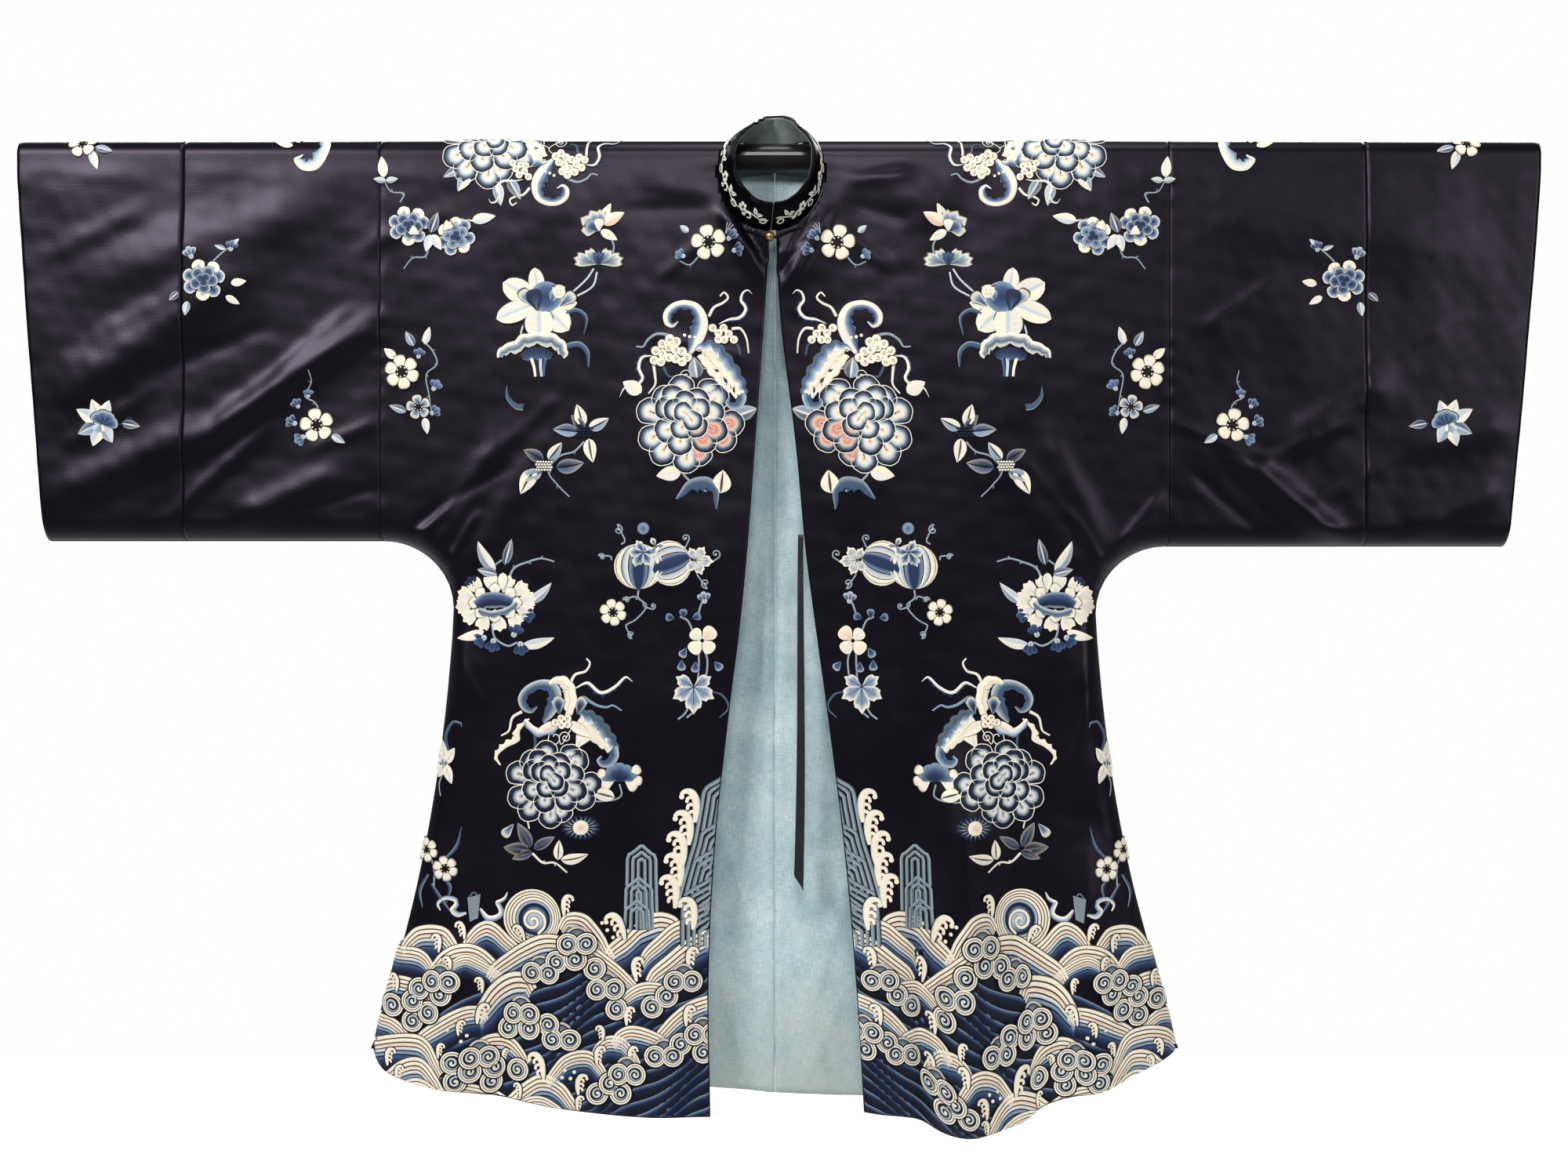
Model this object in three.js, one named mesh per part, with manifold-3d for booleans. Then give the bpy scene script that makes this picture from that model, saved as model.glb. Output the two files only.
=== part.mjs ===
// A wide-sleeved silk surcoat with an open front, hung on a pole through both sleeves.
//
// Millimetres. The origin is the middle of the pole's axis, +X runs to the wearer's left, +Y to the back and +Z up.
// Cloth is placed by two measures: how far out it lies from the centre line, and how far down the cloth from the
// shoulder fold, which lies over the top of the pole. Down as far as the arc it wraps the pole, and below that it hangs.

import * as THREE from 'three';
import Module from 'manifold-3d';

const wasm = await Module();
wasm.setup();

// Driving dimensions
const poleRadius = 16;
const satin = 2;
const cotton = 1.2;
const seam = 0.3;
const poleGap = 0.6;
const wrapRadius = poleRadius + poleGap + satin;
const arc = (Math.PI / 2) * wrapRadius;
const armSeam = 440;
const cuffSeam = 660;
const underarm = { across: 79, down: 75 };
const edgeRound = 26;
const flare = { front: 15, back: 5 };
const fadeIn = 26;

// Each half: which way it lies, its cuff's reach at the pole, how far the cuff slants in, and its sleeve's depth
const halves = [
  { name: 'right', way: -1, reach: 845, slant: 31, sleeve: 431 },
  { name: 'left', way: 1, reach: 855, slant: 37, sleeve: 437 },
];

// The side edge: half the body's width at each drop below the pole's axis
const sideEdge = [
  { drop: 506, half: 360 }, { drop: 612, half: 369 }, { drop: 700, half: 381 }, { drop: 787, half: 398 },
  { drop: 875, half: 420 }, { drop: 962, half: 443 }, { drop: 1000, half: 451 },
];

// The front edges: how far each stands from the centre line at each drop
const frontEdge = [
  { drop: 0, right: 3, left: 3 }, { drop: 96, right: 6, left: 2 }, { drop: 188, right: 12, left: 7 },
  { drop: 328, right: 22, left: 24 }, { drop: 438, right: 30, left: 34 }, { drop: 530, right: 39, left: 46 },
  { drop: 617, right: 50, left: 58 }, { drop: 770, right: 66, left: 77 }, { drop: 918, right: 73, left: 90 },
  { drop: 1067, right: 71, left: 99 },
];

// The hems, from the inner corner of each panel out to its side corner
const hem = {
  front: {
    right: [
      { out: 71, drop: 1069 }, { out: 164, drop: 1068 }, { out: 252, drop: 1057 }, { out: 340, drop: 1041 },
      { out: 400, drop: 1033 }, { out: 436, drop: 1019 }, { out: 451, drop: 1000 },
    ],
    left: [
      { out: 99, drop: 1063 }, { out: 150, drop: 1070 }, { out: 190, drop: 1086 }, { out: 225, drop: 1088 },
      { out: 272, drop: 1076 }, { out: 318, drop: 1050 }, { out: 362, drop: 1040 }, { out: 404, drop: 1022 },
      { out: 451, drop: 1000 },
    ],
  },
  back: {
    right: [
      { out: 0, drop: 1057 }, { out: 80, drop: 1050 }, { out: 250, drop: 1054 }, { out: 380, drop: 1036 },
      { out: 451, drop: 1000 },
    ],
    left: [
      { out: 0, drop: 1057 }, { out: 110, drop: 1060 }, { out: 250, drop: 1054 }, { out: 380, drop: 1036 },
      { out: 451, drop: 1000 },
    ],
  },
};

// Folds, each a soft ridge (or a trough, where the height is under 0) from one end to the other
const frontFolds = [
  // tension folds across the right sleeve
  { x1: -660, drop1: 334, x2: -440, drop2: 182, wide: 17, high: 9 },
  { x1: -640, drop1: 368, x2: -450, drop2: 240, wide: 20, high: -4 },
  { x1: -815, drop1: 285, x2: -575, drop2: 120, wide: 30, high: 8 },
  { x1: -790, drop1: 150, x2: -500, drop2: 55, wide: 34, high: 6 },
  { x1: -822, drop1: 392, x2: -640, drop2: 306, wide: 24, high: 6 },
  { x1: -610, drop1: 412, x2: -478, drop2: 352, wide: 20, high: 6 },
  // folds that fan out from the right underarm
  { x1: -378, drop1: 452, x2: -300, drop2: 300, wide: 15, high: 8 },
  { x1: -356, drop1: 480, x2: -240, drop2: 300, wide: 17, high: 6 },
  { x1: -348, drop1: 520, x2: -332, drop2: 720, wide: 18, high: 7 },
  { x1: -296, drop1: 430, x2: -284, drop2: 830, wide: 26, high: 7 },
  // folds of the right skirt
  { x1: -216, drop1: 560, x2: -232, drop2: 1066, wide: 30, high: 10 },
  { x1: -290, drop1: 850, x2: -300, drop2: 1070, wide: 18, high: -7 },
  { x1: -352, drop1: 860, x2: -362, drop2: 1060, wide: 26, high: 12 },
  { x1: -120, drop1: 700, x2: -126, drop2: 1090, wide: 30, high: 7 },
  // tension folds across the left sleeve
  { x1: 500, drop1: 322, x2: 640, drop2: 440, wide: 16, high: 9 },
  { x1: 560, drop1: 330, x2: 690, drop2: 246, wide: 22, high: 6 },
  { x1: 690, drop1: 330, x2: 822, drop2: 300, wide: 22, high: 5 },
  { x1: 470, drop1: 60, x2: 800, drop2: 110, wide: 40, high: 5 },
  { x1: 700, drop1: 420, x2: 810, drop2: 372, wide: 18, high: 5 },
  // folds that fan out from the left underarm
  { x1: 376, drop1: 458, x2: 300, drop2: 310, wide: 15, high: 8 },
  { x1: 354, drop1: 486, x2: 250, drop2: 330, wide: 18, high: 5 },
  { x1: 346, drop1: 530, x2: 336, drop2: 720, wide: 18, high: 7 },
  // folds of the left skirt, where the widest one swings forward at the hem
  { x1: 112, drop1: 800, x2: 120, drop2: 1090, wide: 22, high: 9 },
  { x1: 158, drop1: 760, x2: 166, drop2: 1100, wide: 13, high: -13 },
  { x1: 205, drop1: 640, x2: 216, drop2: 1120, wide: 30, high: 25 },
  { x1: 268, drop1: 820, x2: 300, drop2: 1090, wide: 15, high: -13 },
  { x1: 338, drop1: 740, x2: 362, drop2: 1060, wide: 28, high: 13 },
  // the pulled folds below the collar, and those over the chest
  { x1: -58, drop1: 52, x2: -19, drop2: 126, wide: 8, high: 5 },
  { x1: 50, drop1: 58, x2: 4, drop2: 126, wide: 8, high: 5 },
  { x1: -204, drop1: 20, x2: -310, drop2: 130, wide: 30, high: 5 },
  { x1: 110, drop1: 20, x2: 190, drop2: 70, wide: 24, high: 5 },
];
const backFolds = [
  { x1: -378, drop1: 452, x2: -280, drop2: 300, wide: 20, high: 6 },
  { x1: 378, drop1: 452, x2: 280, drop2: 300, wide: 20, high: 6 },
  { x1: -330, drop1: 540, x2: -350, drop2: 1050, wide: 34, high: 9 },
  { x1: 330, drop1: 540, x2: 352, drop2: 1050, wide: 34, high: 9 },
  { x1: -170, drop1: 520, x2: -190, drop2: 1080, wide: 40, high: 8 },
  { x1: 150, drop1: 600, x2: 176, drop2: 1080, wide: 38, high: 9 },
  { x1: -700, drop1: 340, x2: -470, drop2: 150, wide: 26, high: 6 },
  { x1: 700, drop1: 350, x2: 480, drop2: 170, wide: 26, high: 6 },
  { x1: -800, drop1: 180, x2: -560, drop2: 80, wide: 34, high: 5 },
  { x1: 800, drop1: 200, x2: 580, drop2: 90, wide: 34, high: 5 },
];

// The neck hole is an ellipse in the cloth. Its bottom lies down the front and its top just behind the pole's top.
const neck = { x: -4, down: 50, across: 60, tall: 66 };
const neckBulge = { drop: 84, spread: 52, high: 9 };
const collar = { height: 35, rimX: -1, rimZ: -9, rimAcross: 45, rimTall: 55, gap: 1.2, bow: 2.5, clear: 0.6, lift: 4.6, steps: 32 };
const pinch = { angle: 3.62, spread: 0.26, deep: 6 };
const binding = { radius: 1.3, sides: 6 };

// The hanging pieces and the fastening
const tie = { drop: 424, length: 396, topWidth: 6, lowWidth: 11, thick: 1.2, point: 16, sway: 3 };
const button = { x: -5, drop: 95, radius: 5.6, clear: 0.35 };
const frog = { radius: 1.3, reach: 33, rise: 12, sides: 6, steps: 10 };
const poleInset = 6;

const colours = {
  satin: { color: 0x241d26, roughness: 0.42, metalness: 0 },
  cotton: { color: 0x86abb8, roughness: 0.9, metalness: 0 },
  cord: { color: 0x16131a, roughness: 0.6, metalness: 0 },
  brass: { color: 0xb98a58, roughness: 0.35, metalness: 0.9 },
  lacquer: { color: 0x0c0c0e, roughness: 0.2, metalness: 0 },
};

const coat = new THREE.Group();

// A smooth curve through a table's rows, with each slope taken from the neighbouring rows
function along(rows, key, value, at) {
  const last = rows.length - 1;
  if (at <= rows[0][key]) return rows[0][value];
  if (at >= rows[last][key]) return rows[last][value];
  const i = rows.findIndex((row, k) => k < last && at <= rows[k + 1][key]);
  const slope = (k) => {
    const before = rows[Math.max(k - 1, 0)];
    const after = rows[Math.min(k + 1, last)];
    return (after[value] - before[value]) / (after[key] - before[key]);
  };
  const step = rows[i + 1][key] - rows[i][key];
  const t = (at - rows[i][key]) / step;
  const low = rows[i][value];
  const high = rows[i + 1][value];
  return low * (1 + 2 * t) * (1 - t) ** 2 + slope(i) * step * t * (1 - t) ** 2
    + high * t * t * (3 - 2 * t) + slope(i + 1) * step * t * t * (t - 1);
}

const smooth = (low, high, at) => THREE.MathUtils.smoothstep(at, low, high);

// The outline's lower edge from the cuff, along the sleeve, round the underarm and down the side, as out and drop
function lowerOutline(half) {
  const bend = half.sleeve + underarm.down;
  const points = [[half.reach + 60, half.sleeve], [armSeam, half.sleeve]];
  for (let k = 1; k <= 9; k++) {
    const angle = (k / 9) * (Math.PI / 2);
    points.push([
      armSeam - underarm.across * Math.sin(angle),
      half.sleeve + underarm.down * (1 - Math.cos(angle)),
    ]);
  }
  for (let drop = bend + 30; drop < 1040; drop += 30) points.push([along(sideEdge, 'drop', 'half', drop), drop]);
  points.push([points.at(-1)[0] + 15, 1130]);
  return points;
}
const outlines = Object.fromEntries(halves.map((half) => [half.name, lowerOutline(half)]));

// How far a place lies inside the lower outline
function inside(half, out, drop) {
  let nearest = Infinity;
  const points = outlines[half.name];
  for (let k = 0; k + 1 < points.length; k++) {
    const [ax, ay] = points[k];
    const [bx, by] = points[k + 1];
    const share = ((out - ax) * (bx - ax) + (drop - ay) * (by - ay)) / ((bx - ax) ** 2 + (by - ay) ** 2);
    const t = THREE.MathUtils.clamp(share, 0, 1);
    nearest = Math.min(nearest, Math.hypot(out - ax - t * (bx - ax), drop - ay - t * (by - ay)));
  }
  return nearest;
}

// The sum of the folds at a place: a bell across each fold, faded over its two ends
function folded(folds, x, drop) {
  let sum = 0;
  for (const { x1, drop1, x2, drop2, wide, high } of folds) {
    const long = Math.hypot(x2 - x1, drop2 - drop1);
    const t = ((x - x1) * (x2 - x1) + (drop - drop1) * (drop2 - drop1)) / long ** 2;
    const off = ((x - x1) * (drop2 - drop1) - (drop - drop1) * (x2 - x1)) / long;
    sum += high * Math.exp(-((off / wide) ** 2)) * smooth(-0.08, 0.3, t) * (1 - smooth(0.8, 1.12, t));
  }
  return sum;
}

// How far a layer's outer face stands from the plane through the pole's axis
function depth(half, face, out, drop) {
  const x = half.way * out;
  const bodily = 1 - smooth(330, 520, out);
  let more = flare[face] * bodily * (drop / 1070) ** 1.1 + folded(face === 'front' ? frontFolds : backFolds, x, drop);
  if (face === 'front') {
    const near = ((x - neck.x) ** 2 + (drop - neckBulge.drop) ** 2) / (2 * neckBulge.spread ** 2);
    more += neckBulge.high * Math.exp(-near);
  }
  const within = THREE.MathUtils.clamp(inside(half, out, drop) / edgeRound, 0, 1);
  return Math.max(wrapRadius + more * smooth(0, fadeIn, drop), wrapRadius) * Math.sqrt(1 - (1 - within) ** 2);
}

// The outer face's point at a place in the cloth
function clothPoint(half, face, out, down) {
  const back = face === 'front' ? -1 : 1;
  if (down < arc) {
    const angle = down / wrapRadius;
    const y = back * (seam / 2 + wrapRadius * Math.sin(angle));
    return new THREE.Vector3(half.way * out, y, wrapRadius * Math.cos(angle));
  }
  const drop = down - arc;
  return new THREE.Vector3(half.way * out, back * (seam / 2 + depth(half, face, out, drop)), -drop);
}

// The outward normal there. At a seam the wall may not lean across it.
function clothNormal(half, face, out, down, atSeam = false) {
  const reach = 0.6;
  const inner = Math.max(down - reach, 0);
  const across = clothPoint(half, face, out + reach, down).sub(clothPoint(half, face, out - reach, down));
  const along_ = clothPoint(half, face, out, down + reach).sub(clothPoint(half, face, out, inner));
  const normal = across.cross(along_);
  const outward = (face === 'front' ? -1 : 1) * Math.sign(normal.y || 1);
  normal.multiplyScalar(down < 1 ? Math.sign(normal.z) : outward);
  if (atSeam) normal.x = 0;
  return normal.normalize();
}

// On the outline the two layers meet, and the wall's edge looks outward in the plane through the pole's axis
function edgeNormal(half, face, fall) {
  const above = panelPlace(half, face, 1, fall - 0.004);
  const below = panelPlace(half, face, 1, Math.min(fall + 0.004, 1));
  return new THREE.Vector3(half.way * (below.down - above.down), 0, below.out - above.out).normalize();
}

// A closed wall between two grids of points, whose rows join up at their ends where the wall is a ring
function wall(outer, inner, ring = false) {
  const rows = outer.length;
  const columns = outer[0].length;
  const positions = [...outer.flat(), ...inner.flat()].flatMap((point) => point.toArray());
  const place = (layer, row, column) => layer * rows * columns + row * columns + (column % columns);
  const index = [];
  const quad = (a, b, c, d) => index.push(a, b, c, a, c, d);
  const spans = ring ? columns : columns - 1;
  for (let row = 0; row + 1 < rows; row++) {
    for (let column = 0; column < spans; column++) {
      const corners = [[row, column], [row, column + 1], [row + 1, column + 1], [row + 1, column]];
      const [a, b, c, d] = corners.map(([r, n]) => place(1, r, n));
      quad(...corners.map(([r, n]) => place(0, r, n)));
      quad(a, d, c, b);
    }
  }
  for (let column = 0; column < spans; column++) {
    quad(place(1, 0, column), place(1, 0, column + 1), place(0, 0, column + 1), place(0, 0, column));
    const row = rows - 1;
    quad(place(0, row, column), place(0, row, column + 1), place(1, row, column + 1), place(1, row, column));
  }
  for (let row = 0; row + 1 < rows && !ring; row++) {
    quad(place(0, row, 0), place(0, row + 1, 0), place(1, row + 1, 0), place(1, row, 0));
    const column = columns - 1;
    quad(place(1, row, column), place(1, row + 1, column), place(0, row + 1, column), place(0, row, column));
  }
  const geometry = new THREE.BufferGeometry();
  geometry.setAttribute('position', new THREE.Float32BufferAttribute(positions, 3));
  geometry.setIndex(index);
  if (signedVolume(geometry) < 0) {
    for (let k = 0; k < index.length; k += 3) [index[k], index[k + 1]] = [index[k + 1], index[k]];
    geometry.setIndex(index);
  }
  return geometry;
}

function signedVolume(geometry) {
  const position = geometry.getAttribute('position');
  const index = geometry.getIndex().array;
  const corner = [0, 1, 2].map(() => new THREE.Vector3());
  let sum = 0;
  for (let k = 0; k < index.length; k += 3) {
    corner.forEach((point, n) => point.fromBufferAttribute(position, index[k + n]));
    sum += corner[0].dot(corner[1].clone().cross(corner[2]));
  }
  return sum / 6;
}

function add(name, geometry, finish) {
  const mesh = new THREE.Mesh(geometry, new THREE.MeshStandardMaterial(colours[finish]));
  mesh.name = name;
  coat.add(mesh);
}

// Places in a body panel. across runs from its centre edge at 0 to its outer edge at 1, and fall from the shoulder
// fold at 0 to the hem at 1: first round the pole, then down the arm seam, round the underarm and down the side.
const falls = { pole: 0.12, corner: 0.5, side: 0.62 };
const stages = [
  { until: falls.pole, rows: 5 }, { until: falls.corner, rows: 9 }, { until: falls.side, rows: 5 }, { until: 1, rows: 9 },
];
const poleRows = stages[0].rows;
const panelRows = stages.reduce((sum, stage) => sum + stage.rows, 0);
const frontGrid = { columns: 15 };
const backGrid = { columns: 10 };

function fallAt(row) {
  let from = 0;
  let left = row;
  for (const { until, rows } of stages) {
    if (left <= rows) return THREE.MathUtils.lerp(from, until, left / rows);
    left -= rows;
    from = until;
  }
  return 1;
}

function panelPlace(half, face, across, fall) {
  const hemRows = hem[face][half.name];
  const lowest = hemRows.at(-1).drop;
  const innerHem = hemRows[0].drop;
  const innerShare = Math.max((fall - falls.pole) / (1 - falls.pole), 0) ** 1.6;
  const roundPole = Math.min(fall / falls.pole, 1) * arc;
  const innerDown = roundPole + innerHem * innerShare;
  let outerOut = armSeam - seam / 2;
  let outerDown = roundPole;
  if (fall > falls.side) {
    const drop = THREE.MathUtils.mapLinear(fall, falls.side, 1, half.sleeve + underarm.down, lowest);
    outerOut = along(sideEdge, 'drop', 'half', drop);
    outerDown += drop;
  } else if (fall > falls.corner) {
    const angle = THREE.MathUtils.mapLinear(fall, falls.corner, falls.side, 0, Math.PI / 2);
    outerOut -= underarm.across * Math.sin(angle);
    outerDown += half.sleeve + underarm.down * (1 - Math.cos(angle));
  } else if (fall > falls.pole) {
    outerDown += THREE.MathUtils.mapLinear(fall, falls.pole, falls.corner, 0, half.sleeve);
  }
  const innerOut = face === 'front' ? along(frontEdge, 'drop', half.name, innerDown - arc) : seam / 2;
  const out = THREE.MathUtils.lerp(innerOut, outerOut, across);
  const straight = THREE.MathUtils.lerp(innerDown, outerDown, across);
  const curved = along(hemRows, 'out', 'drop', out) + arc;
  const chord = THREE.MathUtils.lerp(innerHem, lowest, across) + arc;
  return { out, down: straight + (curved - chord) * smooth(0.6, 1, fall) };
}

// A body panel as a wall between two depths below its outer face, from one row down and out to one column
function panel(half, face, { columns, from, to, firstRow = 0, lastColumn = columns }) {
  const outer = [];
  const inner = [];
  for (let row = firstRow; row <= panelRows; row++) {
    const fall = fallAt(row);
    outer.push([]);
    inner.push([]);
    for (let column = 0; column <= lastColumn; column++) {
      const across = 1 - (1 - column / columns) ** 1.5;
      const { out, down } = panelPlace(half, face, across, fall);
      const atOuter = column === columns;
      const atSeam = (atOuter && fall <= falls.corner) || (column === 0 && face === 'back');
      const onOutline = atOuter && fall > falls.corner;
      const atCorner = atOuter && fall === falls.corner;
      const normal = row === 0 || atCorner ? new THREE.Vector3(0, 0, row === 0 ? 1 : -1)
        : onOutline ? edgeNormal(half, face, fall) : clothNormal(half, face, out, down, atSeam);
      const point = clothPoint(half, face, out, down);
      outer.at(-1).push(point.clone().addScaledVector(normal, -from));
      inner.at(-1).push(point.addScaledVector(normal, -to));
    }
  }
  return wall(outer, inner);
}

// A closed mesh as a solid, and back
function solid(geometry) {
  return new wasm.Manifold(new wasm.Mesh({
    numProp: 3,
    vertProperties: new Float32Array(geometry.getAttribute('position').array),
    triVerts: new Uint32Array(geometry.getIndex().array),
  }));
}

function surface(body) {
  const mesh = body.getMesh();
  const geometry = new THREE.BufferGeometry();
  geometry.setAttribute('position', new THREE.BufferAttribute(mesh.vertProperties, mesh.numProp));
  geometry.setIndex(new THREE.BufferAttribute(mesh.triVerts, 1));
  return geometry;
}

// A place on the neck hole's edge: angle 0 is its bottom, at the front, and a half turn its top, at the back
function neckPlace(angle, shrink = 0) {
  return {
    x: neck.x + (neck.across - shrink) * Math.sin(angle),
    down: neck.down + (neck.tall - shrink) * Math.cos(angle),
  };
}

function onCloth(x, down) {
  const half = halves[x < 0 ? 0 : 1];
  const face = down < 0 ? 'back' : 'front';
  return clothPoint(half, face, Math.abs(x), Math.abs(down));
}

// What the neck hole takes out of one layer: a plug that follows the cloth and reaches past both of its faces
function neckPlug(face) {
  const overShoulder = face === 'front' ? -3 : 3;
  const start = Math.acos((overShoulder - neck.down) / neck.tall);
  const end = face === 'front' ? 0.1 : Math.PI - 0.1;
  const outer = [];
  const inner = [];
  for (let k = 0; k <= 18; k++) {
    const angle = THREE.MathUtils.lerp(start, end, k / 18);
    const { x: edge, down } = neckPlace(angle);
    const side = down < 0 ? 'back' : 'front';
    outer.push([]);
    inner.push([]);
    for (let n = 0; n <= 8; n++) {
      const x = neck.x + (edge - neck.x) * (n / 4 - 1);
      const half = halves[x < 0 ? 0 : 1];
      const point = clothPoint(half, side, Math.abs(x), Math.abs(down));
      const normal = clothNormal(half, side, Math.abs(x), Math.abs(down));
      outer[k].push(point.clone().addScaledVector(normal, 5));
      inner[k].push(point.addScaledVector(normal, -8));
    }
  }
  return wall(outer, inner);
}

function bodyPanel(half, face, grid) {
  return surface(solid(panel(half, face, { ...grid, from: 0, to: satin })).subtract(solid(neckPlug(face))));
}

// A length of sleeve: a flattened tube round the pole, between two seams or a seam and the slanting cuff
function sleevePiece(half, from, to, rings, steps) {
  const outer = [];
  const inner = [];
  for (let k = 0; k <= rings; k++) {
    outer.push([]);
    inner.push([]);
    for (let n = 0; n < 2 * steps; n++) {
      const face = n < steps ? 'front' : 'back';
      const row = face === 'front' ? n : 2 * steps - n;
      const share = (row - poleRows) / (steps - poleRows);
      const down = arc * Math.min(row / poleRows, 1) + half.sleeve * (1 - (1 - Math.max(share, 0)) ** 1.25);
      const end = to ?? half.reach - half.slant * (Math.max(down - arc, 0) / half.sleeve) ** 1.2;
      const out = THREE.MathUtils.lerp(from, end, k / rings);
      const folded = row === 0 || row === steps;
      const normal = folded
        ? new THREE.Vector3(0, 0, row === 0 ? 1 : -1)
        : clothNormal(half, face, out, down, k === 0 || (k === rings && to !== null));
      const point = clothPoint(half, face, out, down);
      if (folded) point.y = 0;
      outer[k].push(point.clone());
      inner[k].push(point.addScaledVector(normal, -satin));
    }
  }
  return wall(outer, inner, true);
}

// The collar's foot and rim at an angle round the neck, and the way it stands between them
function collarLine(angle) {
  const place = neckPlace(angle, collar.clear);
  const foot = onCloth(place.x, place.down);
  const pinched = pinch.deep * Math.exp(-(((angle - pinch.angle) / pinch.spread) ** 2));
  const x = collar.rimX + (collar.rimAcross - pinched) * Math.sin(angle);
  const z = collar.rimZ - (collar.rimTall - pinched) * Math.cos(angle);
  const flat = (x - foot.x) ** 2 + (z - foot.z) ** 2;
  const rim = new THREE.Vector3(x, foot.y - Math.sqrt(Math.max(collar.height ** 2 - flat, 16)), z);
  const stand = rim.clone().sub(foot).normalize();
  const behind = smooth(Math.PI * 0.5, Math.PI * 0.74, Math.min(angle, 2 * Math.PI - angle));
  foot.addScaledVector(stand, collar.lift * behind);
  return { foot, rim, stand };
}

// The inward direction, square to the collar's stand and to its run round the neck
function collarInward(angle) {
  const run = collarLine(angle + 0.02).foot.sub(collarLine(angle - 0.02).foot);
  const { foot, stand } = collarLine(angle);
  const inward = run.cross(stand).normalize();
  const middle = new THREE.Vector3(neck.x, foot.y, -20);
  return inward.multiplyScalar(Math.sign(inward.dot(middle.sub(foot))) || 1);
}

function collarBand(from, to, steps) {
  const outer = [];
  const inner = [];
  const half = collar.gap / 2 / neck.across;
  for (let k = 0; k <= steps; k++) {
    const angle = THREE.MathUtils.lerp(half, 2 * Math.PI - half, k / steps);
    const { foot, rim } = collarLine(angle);
    const inward = collarInward(angle);
    outer.push([]);
    inner.push([]);
    for (const share of [0, 0.5, 1]) {
      const middle = foot.clone().lerp(rim, share).addScaledVector(inward, -collar.bow * 4 * share * (1 - share));
      outer[k].push(middle.clone().addScaledVector(inward, from));
      inner[k].push(middle.addScaledVector(inward, to));
    }
  }
  return wall(outer, inner);
}

// A round cord through a list of points
function cord(points, radius, sides) {
  const path = new THREE.CatmullRomCurve3(points);
  const ring = [];
  const normal = new THREE.Vector3(0, 0, 1);
  const steps = points.length - 1;
  for (let k = 0; k <= steps; k++) {
    const centre = path.getPoint(k / steps);
    const tangent = path.getTangent(k / steps);
    const side = tangent.clone().cross(normal).normalize();
    const up = side.clone().cross(tangent);
    ring.push(Array.from({ length: sides }, (_, n) => {
      const turn = (n / sides) * 2 * Math.PI;
      return centre.clone().addScaledVector(side, radius * Math.cos(turn)).addScaledVector(up, radius * Math.sin(turn));
    }));
  }
  return rod(ring);
}

// A closed bar from rings of points, capped at both ends
function rod(rings) {
  const sides = rings[0].length;
  const positions = rings.flat().flatMap((point) => point.toArray());
  const index = [];
  for (let k = 0; k + 1 < rings.length; k++) {
    for (let n = 0; n < sides; n++) {
      const a = k * sides + n;
      const b = k * sides + ((n + 1) % sides);
      index.push(a, b, b + sides, a, b + sides, a + sides);
    }
  }
  const last = (rings.length - 1) * sides;
  for (let n = 1; n + 1 < sides; n++) index.push(0, n + 1, n, last, last + n, last + n + 1);
  const geometry = new THREE.BufferGeometry();
  geometry.setAttribute('position', new THREE.Float32BufferAttribute(positions, 3));
  geometry.setIndex(index);
  if (signedVolume(geometry) < 0) {
    for (let k = 0; k < index.length; k += 3) [index[k], index[k + 1]] = [index[k + 1], index[k]];
    geometry.setIndex(index);
  }
  return geometry;
}

// The pole
const poleEnds = halves.map((half) => half.way * (half.reach - poleInset));
const pole = new THREE.CylinderGeometry(poleRadius, poleRadius, poleEnds[1] - poleEnds[0], 28);
pole.rotateZ(Math.PI / 2);
pole.translate((poleEnds[0] + poleEnds[1]) / 2, 0, 0);
add('pole', pole, 'lacquer');

// The body and sleeves
for (const half of halves) {
  add(`front_${half.name}`, bodyPanel(half, 'front', frontGrid), 'satin');
  add(`back_${half.name}`, bodyPanel(half, 'back', backGrid), 'satin');
  add(`sleeve_${half.name}`, sleevePiece(half, armSeam + seam / 2, cuffSeam - seam / 2, 5, 14), 'satin');
  add(`cuff_${half.name}`, sleevePiece(half, cuffSeam + seam / 2, null, 4, 14), 'satin');
}

// The back's lining, which shows through the open front and the neck
for (const half of halves) {
  const lining = panel(half, 'back', {
    ...backGrid, from: satin + seam, to: satin + seam + cotton, firstRow: poleRows + 1, lastColumn: backGrid.columns - 2,
  });
  add(`lining_${half.name}`, lining, 'cotton');
}

// The collar
add('collar', collarBand(0, satin, collar.steps), 'satin');
add('collar_lining', collarBand(satin + seam, satin + seam + cotton, collar.steps), 'cotton');
const rimPoints = Array.from({ length: collar.steps + 1 }, (_, k) => {
  const angle = THREE.MathUtils.lerp(0.02, 2 * Math.PI - 0.02, k / collar.steps);
  const { rim, stand } = collarLine(angle);
  return rim.addScaledVector(stand, binding.radius + seam).addScaledVector(collarInward(angle), satin / 2);
});
add('collar_binding', cord(rimPoints, binding.radius, binding.sides), 'cord');

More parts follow.
